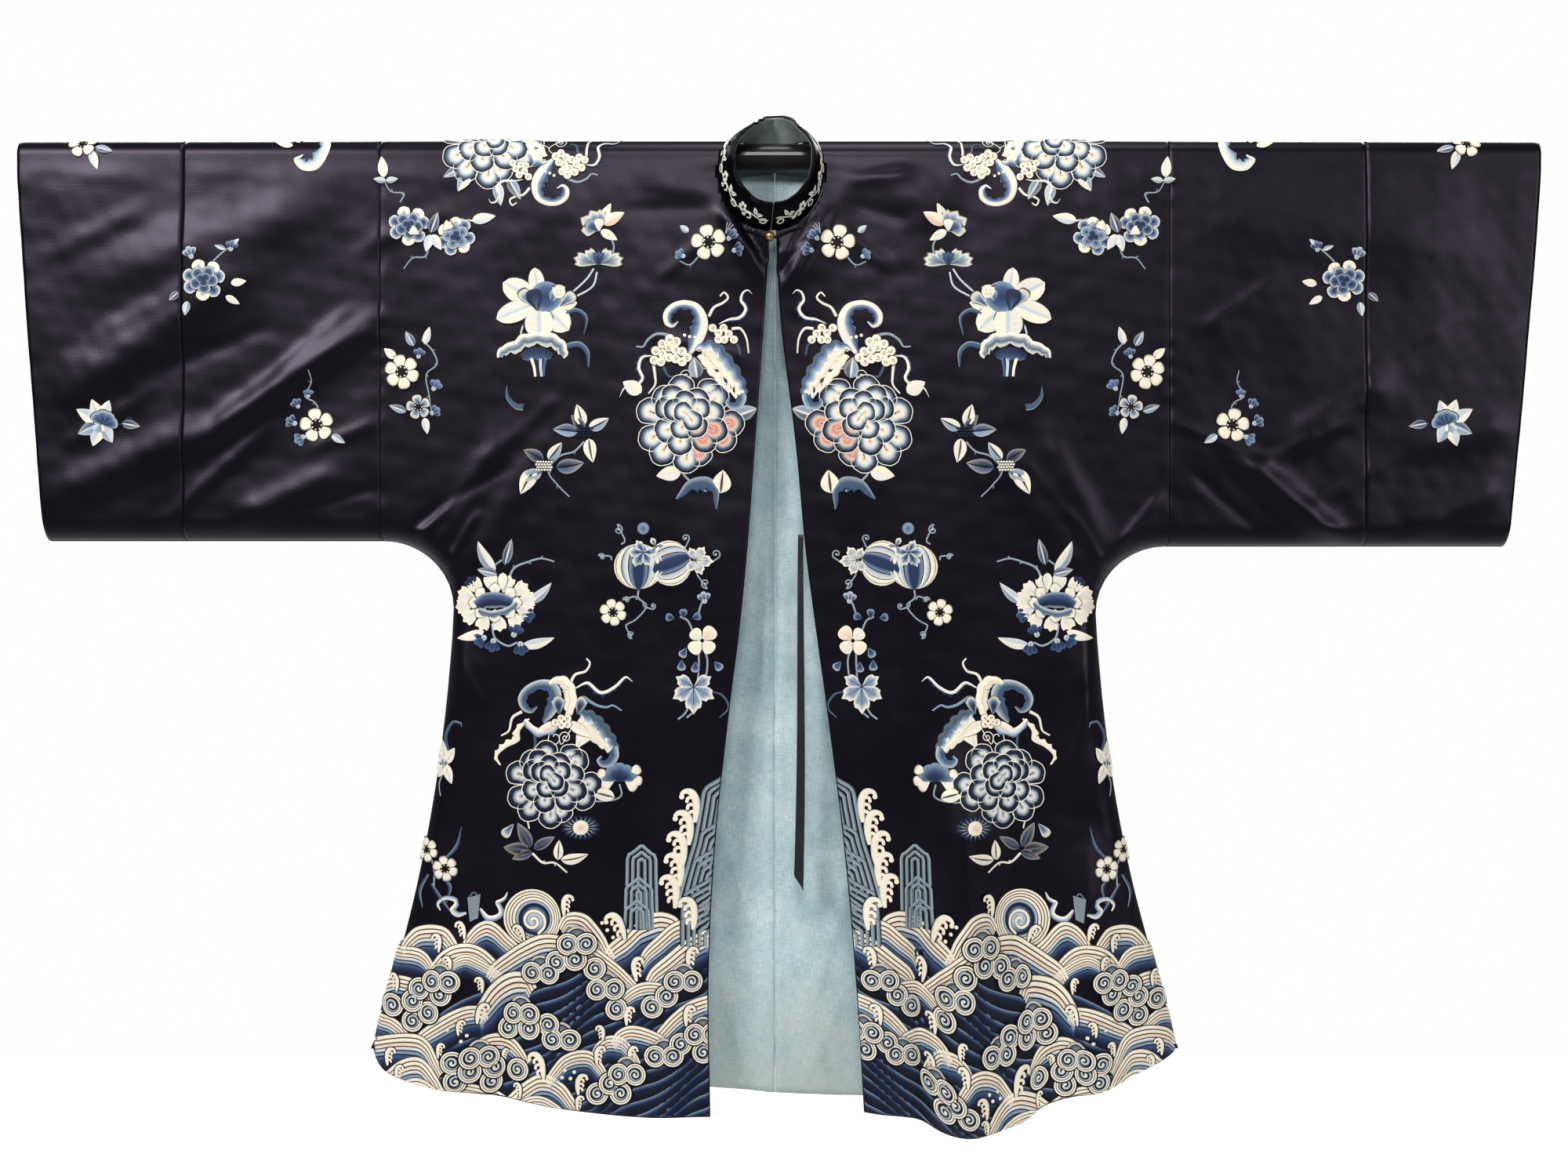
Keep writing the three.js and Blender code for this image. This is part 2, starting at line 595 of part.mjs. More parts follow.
// The waist tie hangs straight down from the left front's edge
const tieRings = [];
const tieSteps = 18;
const tieTop = clothPoint(halves[1], 'front', along(frontEdge, 'drop', 'left', tie.drop), tie.drop + arc);
for (let k = 0; k <= tieSteps; k++) {
  const share = k / tieSteps;
  const fall = share * tie.length;
  const taper = Math.min((tie.length - fall) / tie.point, 1);
  const wide = Math.max(THREE.MathUtils.lerp(tie.topWidth, tie.lowWidth, share) * taper, 1);
  const right = tieTop.x - seam - 0.2 + tie.sway * Math.sin(share * Math.PI) * share;
  const y = tieTop.y + 0.6 - 2 * Math.sin(share * 5);
  const z = tieTop.z - fall;
  tieRings.push([
    new THREE.Vector3(right - wide, y, z),
    new THREE.Vector3(right, y, z),
    new THREE.Vector3(right, y + tie.thick, z),
    new THREE.Vector3(right - wide, y + tie.thick, z),
  ]);
}
add('tie', rod(tieRings), 'satin');

// The ball button at the foot of the collar, and the cord frog on each side of it
const seat = clothPoint(halves[0], 'front', Math.abs(button.x), button.drop + arc);
const ball = new THREE.SphereGeometry(button.radius, 16, 10);
ball.translate(button.x, seat.y - button.radius - frog.radius * 2 - button.clear * 2, -button.drop);
add('button', ball, 'brass');
for (const half of halves) {
  const points = Array.from({ length: frog.steps + 1 }, (_, k) => {
    const share = k / frog.steps;
    const x = button.x + half.way * (button.radius * 0.12 + 1.7 + frog.reach * share);
    const drop = button.drop + 1 - frog.rise * share ** 1.4 - 3 * Math.sin(share * Math.PI);
    const place = clothPoint(halves[x < 0 ? 0 : 1], 'front', Math.abs(x), Math.max(drop, 60) + arc);
    return new THREE.Vector3(x, place.y - frog.radius - button.clear, -drop);
  });
  add(`frog_${half.name}`, cord(points, frog.radius, frog.sides), 'cord');
}

export default coat;
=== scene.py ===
import bpy
import numpy as np
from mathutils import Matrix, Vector


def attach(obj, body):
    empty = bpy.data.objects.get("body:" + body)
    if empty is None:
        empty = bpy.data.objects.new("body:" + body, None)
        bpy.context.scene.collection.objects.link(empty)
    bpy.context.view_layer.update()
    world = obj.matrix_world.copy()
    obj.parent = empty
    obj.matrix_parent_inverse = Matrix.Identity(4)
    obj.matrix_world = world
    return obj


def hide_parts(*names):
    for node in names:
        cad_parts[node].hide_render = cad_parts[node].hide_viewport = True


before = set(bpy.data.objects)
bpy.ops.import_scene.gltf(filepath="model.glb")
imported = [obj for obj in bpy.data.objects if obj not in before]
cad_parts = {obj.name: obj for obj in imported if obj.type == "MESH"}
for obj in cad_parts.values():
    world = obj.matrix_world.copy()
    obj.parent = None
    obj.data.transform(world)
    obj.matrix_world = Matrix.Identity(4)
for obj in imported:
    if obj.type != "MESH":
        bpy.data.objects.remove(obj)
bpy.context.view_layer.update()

# The pole: a straight round rod of black lacquered wood that carries the coat through both sleeves.
# It is turned, rubbed smooth and lacquered, so it is glossy with a faint length-wise grain.
MM = 0.001


def rgb(red, green, blue):
    """A linear colour from the 0 to 255 values of a screen colour."""
    value = np.array([red, green, blue]) / 255
    linear = np.where(value > 0.04045, ((value + 0.055) / 1.055) ** 2.4, value / 12.92)
    return (*linear.tolist(), 1.0)


def shader(name, **sockets):
    """A material with one Principled BSDF, whose sockets take the values given."""
    made = bpy.data.materials.new(name)
    made.use_nodes = True
    surface = made.node_tree.nodes["Principled BSDF"]
    for socket, value in sockets.items():
        surface.inputs[socket.replace("_", " ")].default_value = value
    return made, made.node_tree.nodes, made.node_tree.links, surface


def group(name, inputs, outputs):
    """A shader node group with named sockets: inputs give (name, type, default) and outputs (name, type)."""
    tree = bpy.data.node_groups.new(name, "ShaderNodeTree")
    for socket, kind, default in inputs:
        made = tree.interface.new_socket(socket, in_out="INPUT", socket_type=kind)
        made.default_value = default
    for socket, kind in outputs:
        tree.interface.new_socket(socket, in_out="OUTPUT", socket_type=kind)
    return tree, tree.nodes.new("NodeGroupInput"), tree.nodes.new("NodeGroupOutput")


def place_group(nodes, tree, **values):
    """The group as a node in a material, with its inputs set."""
    node = nodes.new("ShaderNodeGroup")
    node.node_tree = tree
    for socket, value in values.items():
        node.inputs[socket.replace("_", " ")].default_value = value
    return node


def add_node(nodes, kind, **settings):
    """A node of that kind. A setting is one of its properties, or else one of its input sockets."""
    node = nodes.new(kind)
    for key, value in settings.items():
        if hasattr(node, key):
            setattr(node, key, value)
        else:
            node.inputs[key.replace("_", " ")].default_value = value
    return node


def ramp(nodes, low, high, start=0.0, stop=1.0):
    """A colour ramp from the low colour at start to the high one at stop."""
    node = nodes.new("ShaderNodeValToRGB")
    for element, colour, position in zip(node.color_ramp.elements, (low, high), (start, stop)):
        element.color = colour
        element.position = position
    return node


def wire(links, runs):
    """Links sockets: each run gives a node and its output, then the node and input that it goes to."""
    for source, output, target, socket in runs:
        links.new(source.outputs[output], target.inputs[socket])


lacquer, nodes, links, surface = shader(
    "black_lacquer", Roughness=0.3, Specular_IOR_Level=0.3, Coat_Weight=0.16, Coat_Roughness=0.12
)
where = add_node(nodes, "ShaderNodeTexCoord")
along_grain = add_node(nodes, "ShaderNodeMapping", Scale=(6, 260, 260))
grain = add_node(nodes, "ShaderNodeTexNoise", Scale=1.0, Detail=3.0)
tone = ramp(nodes, rgb(9, 9, 11), rgb(26, 25, 28))
relief = add_node(nodes, "ShaderNodeBump", Strength=0.08, Distance=0.0003)
wire(links, [
    (where, "Object", along_grain, "Vector"), (along_grain, "Vector", grain, "Vector"),
    (grain, "Fac", tone, "Fac"), (grain, "Fac", relief, "Height"), (tone, "Color", surface, "Base Color"),
    (relief, "Normal", surface, "Normal"),
])
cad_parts["pole"].data.materials.clear()
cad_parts["pole"].data.materials.append(lacquer)

# The fronts: two lengths of silk satin, each lined with blue cotton, cut in one with the shoulder and the
# upper arm. Each hangs from the top of the pole. Its edge slopes from the collar to the hem, so the coat
# stands open below.
POLE_RADIUS = 16.0
SATIN = 2.0
COTTON = 1.2
SEAM = 0.3
WRAP = POLE_RADIUS + 0.6 + SATIN
ARC = WRAP * np.pi / 2
ARM_SEAM = 440.0
CUFF_SEAM = 660.0
UNDERARM = (79.0, 75.0)
EDGE_ROUND = 26.0
RIGHT, LEFT = -1, 1
SLEEVE_DROP = {RIGHT: 431.0, LEFT: 437.0}
REACH = {RIGHT: 845.0, LEFT: 855.0}
CUFF_SLANT = {RIGHT: 31.0, LEFT: 37.0}
# Rows of (drop, half the body's width)
SIDE_EDGE = [(506, 360), (612, 369), (700, 381), (787, 398), (875, 420), (962, 443), (1000, 451)]
# Rows of (drop, how far the front edge stands from the centre line)
FRONT_EDGE = {
    RIGHT: [(0, 3), (96, 6), (188, 12), (328, 22), (438, 30), (530, 39), (617, 50), (770, 66), (918, 73),
            (1067, 71)],
    LEFT: [(0, 3), (96, 2), (188, 7), (328, 24), (438, 34), (530, 46), (617, 58), (770, 77), (918, 90),
           (1067, 99)],
}
# Rows of (distance from the centre line, drop), from the inner corner of each hem to its side corner
FRONT_HEM = {
    RIGHT: [(71, 1069), (164, 1068), (252, 1057), (340, 1041), (400, 1033), (436, 1019), (451, 1000)],
    LEFT: [(99, 1063), (150, 1070), (190, 1086), (225, 1088), (272, 1076), (318, 1050), (362, 1040),
           (404, 1022), (451, 1000)],
}
# Folds of the fronts, each a ridge (or a trough) from one end to the other: x, drop, x, drop, width, height
FRONT_FOLDS = [
    # across the right sleeve
    (-660, 334, -440, 182, 17, 9), (-640, 368, -450, 240, 20, -4), (-815, 285, -575, 120, 30, 8),
    (-790, 150, -500, 55, 34, 6), (-822, 392, -640, 306, 24, 6), (-610, 412, -478, 352, 20, 6),
    # out of the right underarm
    (-378, 452, -300, 300, 15, 3), (-356, 480, -240, 300, 17, 2.5), (-348, 520, -332, 720, 18, 4),
    (-296, 430, -284, 830, 26, 5),
    # down the right skirt
    (-216, 560, -232, 1066, 30, 10), (-290, 850, -300, 1070, 18, -7), (-352, 860, -362, 1060, 26, 12),
    (-120, 700, -126, 1090, 30, 7),
    # across the left sleeve
    (500, 322, 640, 440, 16, 9), (560, 330, 690, 246, 22, 6), (690, 330, 822, 300, 22, 5),
    (470, 60, 800, 110, 40, 5), (700, 420, 810, 372, 18, 5),
    # out of the left underarm
    (376, 458, 300, 310, 15, 3.5), (354, 486, 250, 330, 18, 2.5), (346, 530, 336, 720, 18, 5),
    # down the left skirt, where the widest fold swings forward at the hem
    (112, 800, 120, 1090, 22, 9), (158, 760, 166, 1100, 13, -13), (205, 640, 216, 1120, 30, 25),
    (268, 820, 300, 1090, 15, -13), (338, 740, 362, 1060, 28, 13),
    # below the collar and over the chest
    (-58, 52, -19, 126, 8, 5), (50, 58, 4, 126, 8, 5), (-204, 20, -310, 130, 30, 1.5),
    (110, 20, 190, 70, 24, 3),
]
# Finer creases than those, which only the cloth's surface has
FRONT_CREASES = [
    (-690, 418, -560, 300, 9, 2.2), (-560, 250, -470, 170, 8, 1.8), (-700, 250, -560, 190, 10, -1.6),
    (-800, 330, -690, 262, 9, 1.6), (-770, 210, -640, 140, 10, 1.5), (-820, 120, -700, 60, 12, 1.4),
    (-520, 330, -446, 300, 7, 1.8), (-512, 392, -446, 372, 7, -1.6), (-470, 110, -360, 60, 10, 1.3),
    (-400, 430, -350, 380, 6, 2.0), (-420, 425, -300, 350, 7, -1.8), (-372, 470, -330, 400, 5, 2.2),
    (-350, 560, -322, 620, 6, 1.5), (-330, 350, -240, 270, 9, 1.4), (-140, 202, -30, 228, 7, 1.2),
    (-150, 330, -60, 350, 10, 1.0), (-250, 640, -262, 900, 9, 1.4), (-180, 820, -190, 980, 8, 1.2),
    (-330, 760, -342, 900, 8, 1.5), (-90, 500, -96, 720, 10, 1.0), (-300, 1010, -318, 1060, 6, -2.0),
    (520, 355, 640, 300, 8, 1.7), (590, 400, 700, 330, 9, 1.6), (610, 260, 760, 180, 11, 1.6),
    (470, 200, 560, 140, 9, 1.6), (720, 250, 830, 190, 10, 1.3), (460, 350, 540, 420, 7, -1.8),
    (446, 300, 520, 330, 6, 1.8), (380, 440, 430, 380, 6, 2.0), (340, 420, 270, 330, 7, 1.6),
    (372, 470, 330, 400, 5, 2.2), (350, 600, 330, 680, 6, 1.4), (250, 640, 244, 860, 9, 1.3),
    (140, 600, 150, 800, 9, 1.2), (180, 880, 186, 1050, 6, -3.0), (232, 900, 246, 1080, 7, 2.2),
    (330, 860, 338, 1030, 7, -2.4), (390, 880, 404, 1010, 9, 1.8), (70, 330, 150, 300, 9, 1.0),
    (-66, 56, -14, 140, 7, 5.0), (-50, 60, -4, 128, 5, -5.5), (62, 58, 14, 148, 7, 5.5),
    (46, 62, 2, 138, 5, -6.0), (-44, 92, -14, 116, 3, 2.0), (38, 94, 8, 116, 3, 2.0),
    (-150, 30, -70, 44, 12, 1.6), (-170, 60, -76, 62, 8, -1.2), (70, 34, 160, 14, 10, 1.8),
    (74, 56, 150, 74, 9, -1.4), (60, 70, 130, 130, 8, 1.5), (-66, 84, -130, 140, 8, 1.5),
]
NECK = {"x": -4.0, "down": 50.0, "across": 60.0, "tall": 66.0}
FALLS = (0.12, 0.5, 0.62)


def curve(rows, at):
    """A smooth curve through a table's rows: a cubic between two, its slopes from the rows beside."""
    x, y = np.array(rows, float).T
    k = np.arange(len(x))
    before, after = np.maximum(k - 1, 0), np.minimum(k + 1, len(x) - 1)
    slope = (y[after] - y[before]) / (x[after] - x[before])
    at = np.clip(at, x[0], x[-1])
    i = np.clip(np.searchsorted(x, at, side="right") - 1, 0, len(x) - 2)
    step = x[i + 1] - x[i]
    t = (at - x[i]) / step
    near = y[i] * (1 + 2 * t) * (1 - t) ** 2 + slope[i] * step * t * (1 - t) ** 2
    return near + y[i + 1] * t * t * (3 - 2 * t) + slope[i + 1] * step * t * t * (t - 1)


def smooth(low, high, at):
    """0 below low, 1 above high, and 3t² - 2t³ between."""
    t = np.clip((at - low) / (high - low), 0, 1)
    return t * t * (3 - 2 * t)


def lower_outline(side):
    """The outline under the sleeve, round the underarm and down the side, as points out and down."""
    drop = SLEEVE_DROP[side]
    angle = np.linspace(0, np.pi / 2, 10)
    bend = np.stack([ARM_SEAM - UNDERARM[0] * np.sin(angle), drop + UNDERARM[1] * (1 - np.cos(angle))], -1)
    down = np.arange(drop + UNDERARM[1] + 30, 1040, 30)
    flank = np.stack([curve(SIDE_EDGE, down), down], -1)
    return np.vstack([[REACH[side] + 60, drop], bend, flank, [flank[-1, 0] + 15, 1130]])


OUTLINES = {side: lower_outline(side) for side in (RIGHT, LEFT)}


def inside(side, out, drop):
    """The distance from each place to the nearest stretch of the lower outline."""
    points = OUTLINES[side]
    nearest = np.full(np.shape(out), 1e9)
    for (ax, ay), (bx, by) in zip(points[:-1], points[1:]):
        share = ((out - ax) * (bx - ax) + (drop - ay) * (by - ay)) / ((bx - ax) ** 2 + (by - ay) ** 2)
        t = np.clip(share, 0, 1)
        nearest = np.minimum(nearest, np.hypot(out - ax - t * (bx - ax), drop - ay - t * (by - ay)))
    return nearest


def folded(folds, x, drop):
    """The sum of the folds: a bell across each one, faded smoothly over its two ends."""
    total = np.zeros(np.shape(x))
    for x1, drop1, x2, drop2, wide, high in folds:
        long = np.hypot(x2 - x1, drop2 - drop1)
        t = ((x - x1) * (x2 - x1) + (drop - drop1) * (drop2 - drop1)) / long**2
        off = ((x - x1) * (drop2 - drop1) - (drop - drop1) * (x2 - x1)) / long
        total += high * np.exp(-((off / wide) ** 2)) * smooth(-0.08, 0.3, t) * (1 - smooth(0.8, 1.12, t))
    return total


def handled(x, drop, seed, height, wavelength):
    """The slight unevenness of handled silk: sine waves that cross at seeded angles, lengths and phases."""
    rng = np.random.default_rng(seed)
    total = np.zeros(np.shape(x))
    for _ in range(9):
        turn, phase = rng.uniform(0, 2 * np.pi, 2)
        length = wavelength * rng.uniform(0.6, 1.8)
        total += np.sin((x * np.cos(turn) + drop * np.sin(turn)) * 2 * np.pi / length + phase)
    return total * height / 3


def gathered(x, drop):
    """The pucker along the two seams of each sleeve: a short wave that dies away on both sides."""
    out = np.abs(x)
    uneven = 1 + 0.5 * np.sin(drop / 47 + x / 300)
    arm = 0.35 * np.exp(-(((out - ARM_SEAM) / 9) ** 2)) * np.sin(drop / 4.9 + 4 * np.sin(drop / 37))
    cuff = 0.15 * np.exp(-(((out - CUFF_SEAM) / 8) ** 2)) * np.sin(drop / 3.6 + 2 * np.sin(drop / 23))
    dent = -0.35 * np.exp(-(((out - ARM_SEAM) / 4) ** 2)) - 0.12 * np.exp(-(((out - CUFF_SEAM) / 3.5) ** 2))
    return (arm + cuff) * uneven + dent


FACES = {
    "front": {"back": -1, "flare": 15, "folds": FRONT_FOLDS, "creases": FRONT_CREASES, "seed": 4},
}


def cloth(face, x, down):
    """The outer face's point for a place in the cloth, by its x and its way down the cloth from the shoulder
    fold.

    As far as the arc round the pole it lies at angle down / radius. Below that it hangs, and stands out by
    the pole's radius, the flare, and the folds, all times a rounding at the outline, a quarter of an
    ellipse.
    """
    form = FACES[face]
    angle = np.minimum(down, ARC) / WRAP
    drop = np.maximum(down - ARC, 0)
    out = np.abs(x)
    within = np.where(x < 0, inside(RIGHT, out, drop), inside(LEFT, out, drop))
    edge = np.sqrt(1 - (1 - np.clip(within / EDGE_ROUND, 0, 1)) ** 2)
    flare = form["flare"] * (1 - smooth(330, 520, out)) * (drop / 1070) ** 1.1
    more = flare + folded(form["folds"], x, drop)
    if face == "front":
        more += 9 * np.exp(-((x + 4) ** 2 + (drop - 84) ** 2) / (2 * 52**2))
    fine = folded(form["creases"], x, drop) + gathered(x, drop)
    fine = fine + handled(x, drop, form["seed"], 0.55, 95) + handled(x, drop, form["seed"] + 1, 0.2, 34)
    more = 0.5 * (more + np.sqrt(more**2 + 9))
    stand = WRAP + more * smooth(0, 26, drop) + fine * smooth(0, 30, drop) * smooth(0, 22, within)
    hanging = SEAM / 2 + stand * edge
    y = np.where(down < ARC, SEAM / 2 + WRAP * np.sin(angle), hanging)
    z = np.where(down < ARC, WRAP * np.cos(angle), -drop)
    return np.stack(np.broadcast_arrays(x, form["back"] * y, z), -1)


def cloth_normal(face, x, down, reach=0.7):
    """The outward unit normal there, square to the run across and the run down."""
    across = cloth(face, x + reach, down) - cloth(face, x - reach, down)
    fall = cloth(face, x, down + reach) - cloth(face, x, np.maximum(down - reach, 0))
    normal = np.cross(across, fall) * FACES[face]["back"] * -1
    normal /= np.maximum(np.linalg.norm(normal, axis=-1, keepdims=True), 1e-9)
    outward = np.where(down < 3, normal[..., 2], normal[..., 1] * FACES[face]["back"])
    return normal * np.where(outward < 0, -1, 1)[..., None]


def panel_places(side, face, hem, edge, rows, columns, last=1.0):
    """Places over a body panel, as x and way down the cloth.

    across goes from the centre edge to the arm seam, the underarm's arc and the side, and fall from the
    shoulder fold to the hem. Between its edges a place is a straight mix, and the hem's curve is let in
    smoothly over the lowest part.
    """
    fall = np.concatenate([np.linspace(0, FALLS[0], 14)[:-1], np.linspace(FALLS[0], 1, rows)])[:, None]
    across = 1 - (1 - np.linspace(0, last, columns)[None, :]) ** 1.2
    drop = SLEEVE_DROP[side]
    round_pole = np.minimum(fall / FALLS[0], 1) * ARC
    inner_down = round_pole + hem[0][1] * np.maximum((fall - FALLS[0]) / (1 - FALLS[0]), 0) ** 1.6
    angle = np.clip((fall - FALLS[1]) / (FALLS[2] - FALLS[1]), 0, 1) * np.pi / 2
    seam_part = np.clip((fall - FALLS[0]) / (FALLS[1] - FALLS[0]), 0, 1) * drop
    side_part = np.clip((fall - FALLS[2]) / (1 - FALLS[2]), 0, 1) * (hem[-1][1] - drop - UNDERARM[1])
    outer_down = round_pole + seam_part + UNDERARM[1] * (1 - np.cos(angle)) + side_part
    outer_out = np.where(
        fall > FALLS[2],
        curve(SIDE_EDGE, outer_down - ARC),
        ARM_SEAM - SEAM / 2 - UNDERARM[0] * np.sin(angle),
    )
    inner_out = curve(edge, inner_down - ARC) if edge else np.full_like(fall, SEAM / 2)
    out = inner_out + (outer_out - inner_out) * across
    straight = inner_down + (outer_down - inner_down) * across
    chord = hem[0][1] + (hem[-1][1] - hem[0][1]) * across + ARC
    down = straight + (curve(hem, out) + ARC - chord) * smooth(0.6, 1, fall)
    return side * out, down


def round_neck(face, x, down):
    """Brings the places just inside the neck's ellipse out to it, and says which quads are left round it."""
    back = FACES[face]["back"]
    across = (x - NECK["x"]) / NECK["across"]
    tall = (-back * down - NECK["down"]) / NECK["tall"]
    reach = np.hypot(across, tall)
    hole = reach < 1
    kept = ~(hole[:-1, :-1] & hole[1:, :-1] & hole[:-1, 1:] & hole[1:, 1:])
    scale = np.where(hole, 1 / np.maximum(reach, 0.2), 1)
    moved_down = np.abs(NECK["down"] + tall * scale * NECK["tall"])
    return NECK["x"] + across * scale * NECK["across"], np.where(hole, moved_down, down), kept


def build_mesh(name, points, faces, materials, slots=None, uv=None, colours=None):
    """A mesh object from points in millimetres, riding on the coat, with smooth faces and its own maps."""
    mesh = bpy.data.meshes.new(name)
    mesh.from_pydata((np.asarray(points) * MM).tolist(), [], np.asarray(faces).tolist())
    mesh.update()
    for material in materials:
        mesh.materials.append(material)
    if slots is not None:
        mesh.polygons.foreach_set("material_index", np.asarray(slots, np.int32))
    if uv is not None:
        corner = np.empty(len(mesh.loops), np.int32)
        mesh.loops.foreach_get("vertex_index", corner)
        mesh.uv_layers.new(name="cut").data.foreach_set("uv", np.asarray(uv, np.float32)[corner].ravel())
    if colours is not None:
        layer = mesh.color_attributes.new("floss", "FLOAT_COLOR", "POINT")
        layer.data.foreach_set("color", np.asarray(colours, np.float32).ravel())
    mesh.polygons.foreach_set("use_smooth", np.ones(len(mesh.polygons), bool))
    made = bpy.data.objects.new(name, mesh)
    bpy.context.scene.collection.objects.link(made)
    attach(made, "root")
    return made


def wall(name, outer, inner, cut, materials, kept=None, ring=False):
    """A closed wall: a grid of outer points, the same grid within, and a rim along every open edge."""
    rows, columns = outer.shape[:2]
    index = np.arange(rows * columns).reshape(rows, columns)
    if ring:
        index = np.hstack([index, index[:, :1]])
    quads = np.stack([index[:-1, :-1], index[:-1, 1:], index[1:, 1:], index[1:, :-1]], -1)
    quads = quads[kept] if kept is not None else quads.reshape(-1, 4)
    points = outer.reshape(-1, 3)
    corner = points[quads]
    facing = np.cross(corner[:, 2] - corner[:, 0], corner[:, 3] - corner[:, 1])
    outward = (facing * (points - inner.reshape(-1, 3))[quads].sum(1)).sum(-1)
    if np.median(outward) < 0:
        quads = quads[:, ::-1]
    start, end = quads.ravel(), np.roll(quads, -1, 1).ravel()
    count = rows * columns
    open_edge = ~np.isin(start * count + end, end * count + start)
    start, end = start[open_edge], end[open_edge]
    rim = np.stack([end, start, start + count, end + count], -1)
    faces = np.vstack([quads, quads[:, ::-1] + count, rim])
    slots = np.concatenate([np.zeros(len(quads)), np.ones(len(quads)), np.zeros(len(rim))])
    both = np.vstack([points, inner.reshape(-1, 3)])
    used, faces = np.unique(faces, return_inverse=True)
    spread = np.vstack([cut.reshape(-1, 2)] * 2) * MM
    return build_mesh(name, both[used], faces.reshape(-1, 4), materials, slots, spread[used])


def cloth_wall(name, face, x, down, deep, materials, edge_normals=None, kept=None):
    """A wall of cloth between its outer face and another face below it by the cloth's thickness."""
    outer = cloth(face, x, down)
    normal = cloth_normal(face, x, down)
    if edge_normals is not None:
        normal = edge_normals(normal)
    return wall(name, outer - normal * deep[0], outer - normal * deep[1], np.stack([x, down], -1), materials,
                kept)


woven, given, result = group(
    "woven_silk",
    [("Warp", "NodeSocketFloat", 2600.0), ("Slub", "NodeSocketFloat", 0.3), ("Wear", "NodeSocketFloat", 0.2),
     ("Deep", "NodeSocketColor", (0, 0, 0, 1)), ("Pale", "NodeSocketColor", (1, 1, 1, 1))],
    [("Color", "NodeSocketColor"), ("Roughness", "NodeSocketFloat"), ("Height", "NodeSocketFloat")],
)
nodes, links = woven.nodes, woven.links
where = add_node(nodes, "ShaderNodeUVMap", uv_map="cut")
slub_way = add_node(nodes, "ShaderNodeMapping", Scale=(34, 900, 1))
slubs = add_node(nodes, "ShaderNodeTexNoise", Scale=1.0, Detail=4.0, Roughness=0.6)
warp_way = add_node(nodes, "ShaderNodeMapping", Scale=(1500, 60, 1))
warps = add_node(nodes, "ShaderNodeTexNoise", Scale=1.0, Detail=2.0)
patches = add_node(nodes, "ShaderNodeTexNoise", Scale=9.0, Detail=5.0, Roughness=0.55)
worn = add_node(nodes, "ShaderNodeMapRange", From_Min=0.45, From_Max=0.75)
shade = add_node(nodes, "ShaderNodeMath", operation="MULTIPLY_ADD")
mixed = add_node(nodes, "ShaderNodeMix", data_type="RGBA")
height = add_node(nodes, "ShaderNodeMath", operation="MULTIPLY_ADD")
fine = add_node(nodes, "ShaderNodeMath", operation="MULTIPLY")
fine.inputs[1].default_value = 0.5
rough = add_node(nodes, "ShaderNodeMapRange", From_Min=0.2, From_Max=0.8, To_Min=0.3, To_Max=0.39)
for way, texture in ((slub_way, slubs), (warp_way, warps)):
    links.new(where.outputs["UV"], way.inputs["Vector"])
    links.new(way.outputs["Vector"], texture.inputs["Vector"])
wire(links, [
    (where, "UV", patches, "Vector"), (patches, "Fac", worn, "Value"), (worn, "Result", shade, 0),
    (given, "Wear", shade, 1), (slubs, "Fac", fine, 0), (fine, "Value", shade, 2),
    (shade, "Value", mixed, "Factor"), (given, "Deep", mixed, "A"), (given, "Pale", mixed, "B"),
    (slubs, "Fac", height, 0), (given, "Slub", height, 1), (warps, "Fac", height, 2),
    (patches, "Fac", rough, "Value"), (mixed, "Result", result, "Color"),
    (rough, "Result", result, "Roughness"), (height, "Value", result, "Height"),
])


def silk(name, deep, pale, wear, **sockets):
    """A silk material: the woven group sets its colour, roughness and fine relief."""
    made, nodes, links, surface = shader(name, **sockets)
    weave = place_group(nodes, woven, Deep=deep, Pale=pale, Wear=wear, Slub=0.9)
    relief = add_node(nodes, "ShaderNodeBump", Strength=0.22, Distance=0.0004)
    wire(links, [
        (weave, "Color", surface, "Base Color"), (weave, "Roughness", surface, "Roughness"),
        (weave, "Height", relief, "Height"), (relief, "Normal", surface, "Normal"),
    ])
    return made


satin = silk(
    "aubergine_satin", rgb(2, 2, 8), rgb(10, 9, 17), 0.5,
    Specular_IOR_Level=0.28, Specular_Tint=rgb(240, 222, 250), Sheen_Weight=0.015, Sheen_Roughness=0.35,
)

cotton, nodes, links, surface = shader("pale_blue_cotton", Roughness=0.88, Sheen_Weight=0.2)
where = add_node(nodes, "ShaderNodeUVMap", uv_map="cut")
place_in_frame = add_node(nodes, "ShaderNodeTexCoord")
split = add_node(nodes, "ShaderNodeSeparateXYZ")
mottle = add_node(nodes, "ShaderNodeTexNoise", Scale=14.0, Detail=7.0, Roughness=0.62)
cross_way = add_node(nodes, "ShaderNodeMapping", Scale=(90, 1300, 1))
down_way = add_node(nodes, "ShaderNodeMapping", Scale=(1300, 90, 1))
crosswise = add_node(nodes, "ShaderNodeTexNoise", Scale=1.0, Detail=3.0)
downwise = add_node(nodes, "ShaderNodeTexNoise", Scale=1.0, Detail=3.0)
threads = add_node(nodes, "ShaderNodeMath", operation="ADD")
blue = ramp(nodes, rgb(166, 194, 202), rgb(214, 230, 230), 0.3, 0.72)
thread_tone = add_node(nodes, "ShaderNodeMapRange", From_Min=0.7, From_Max=1.3, To_Min=0.72, To_Max=1.18)
toned = add_node(nodes, "ShaderNodeVectorMath", operation="SCALE")
hem_zone = add_node(nodes, "ShaderNodeMapRange", From_Min=-0.9, From_Max=-1.06)
stain_edge = add_node(nodes, "ShaderNodeMath", operation="MULTIPLY")
stained = add_node(nodes, "ShaderNodeMix", data_type="RGBA")
stained.inputs["B"].default_value = rgb(160, 158, 138)
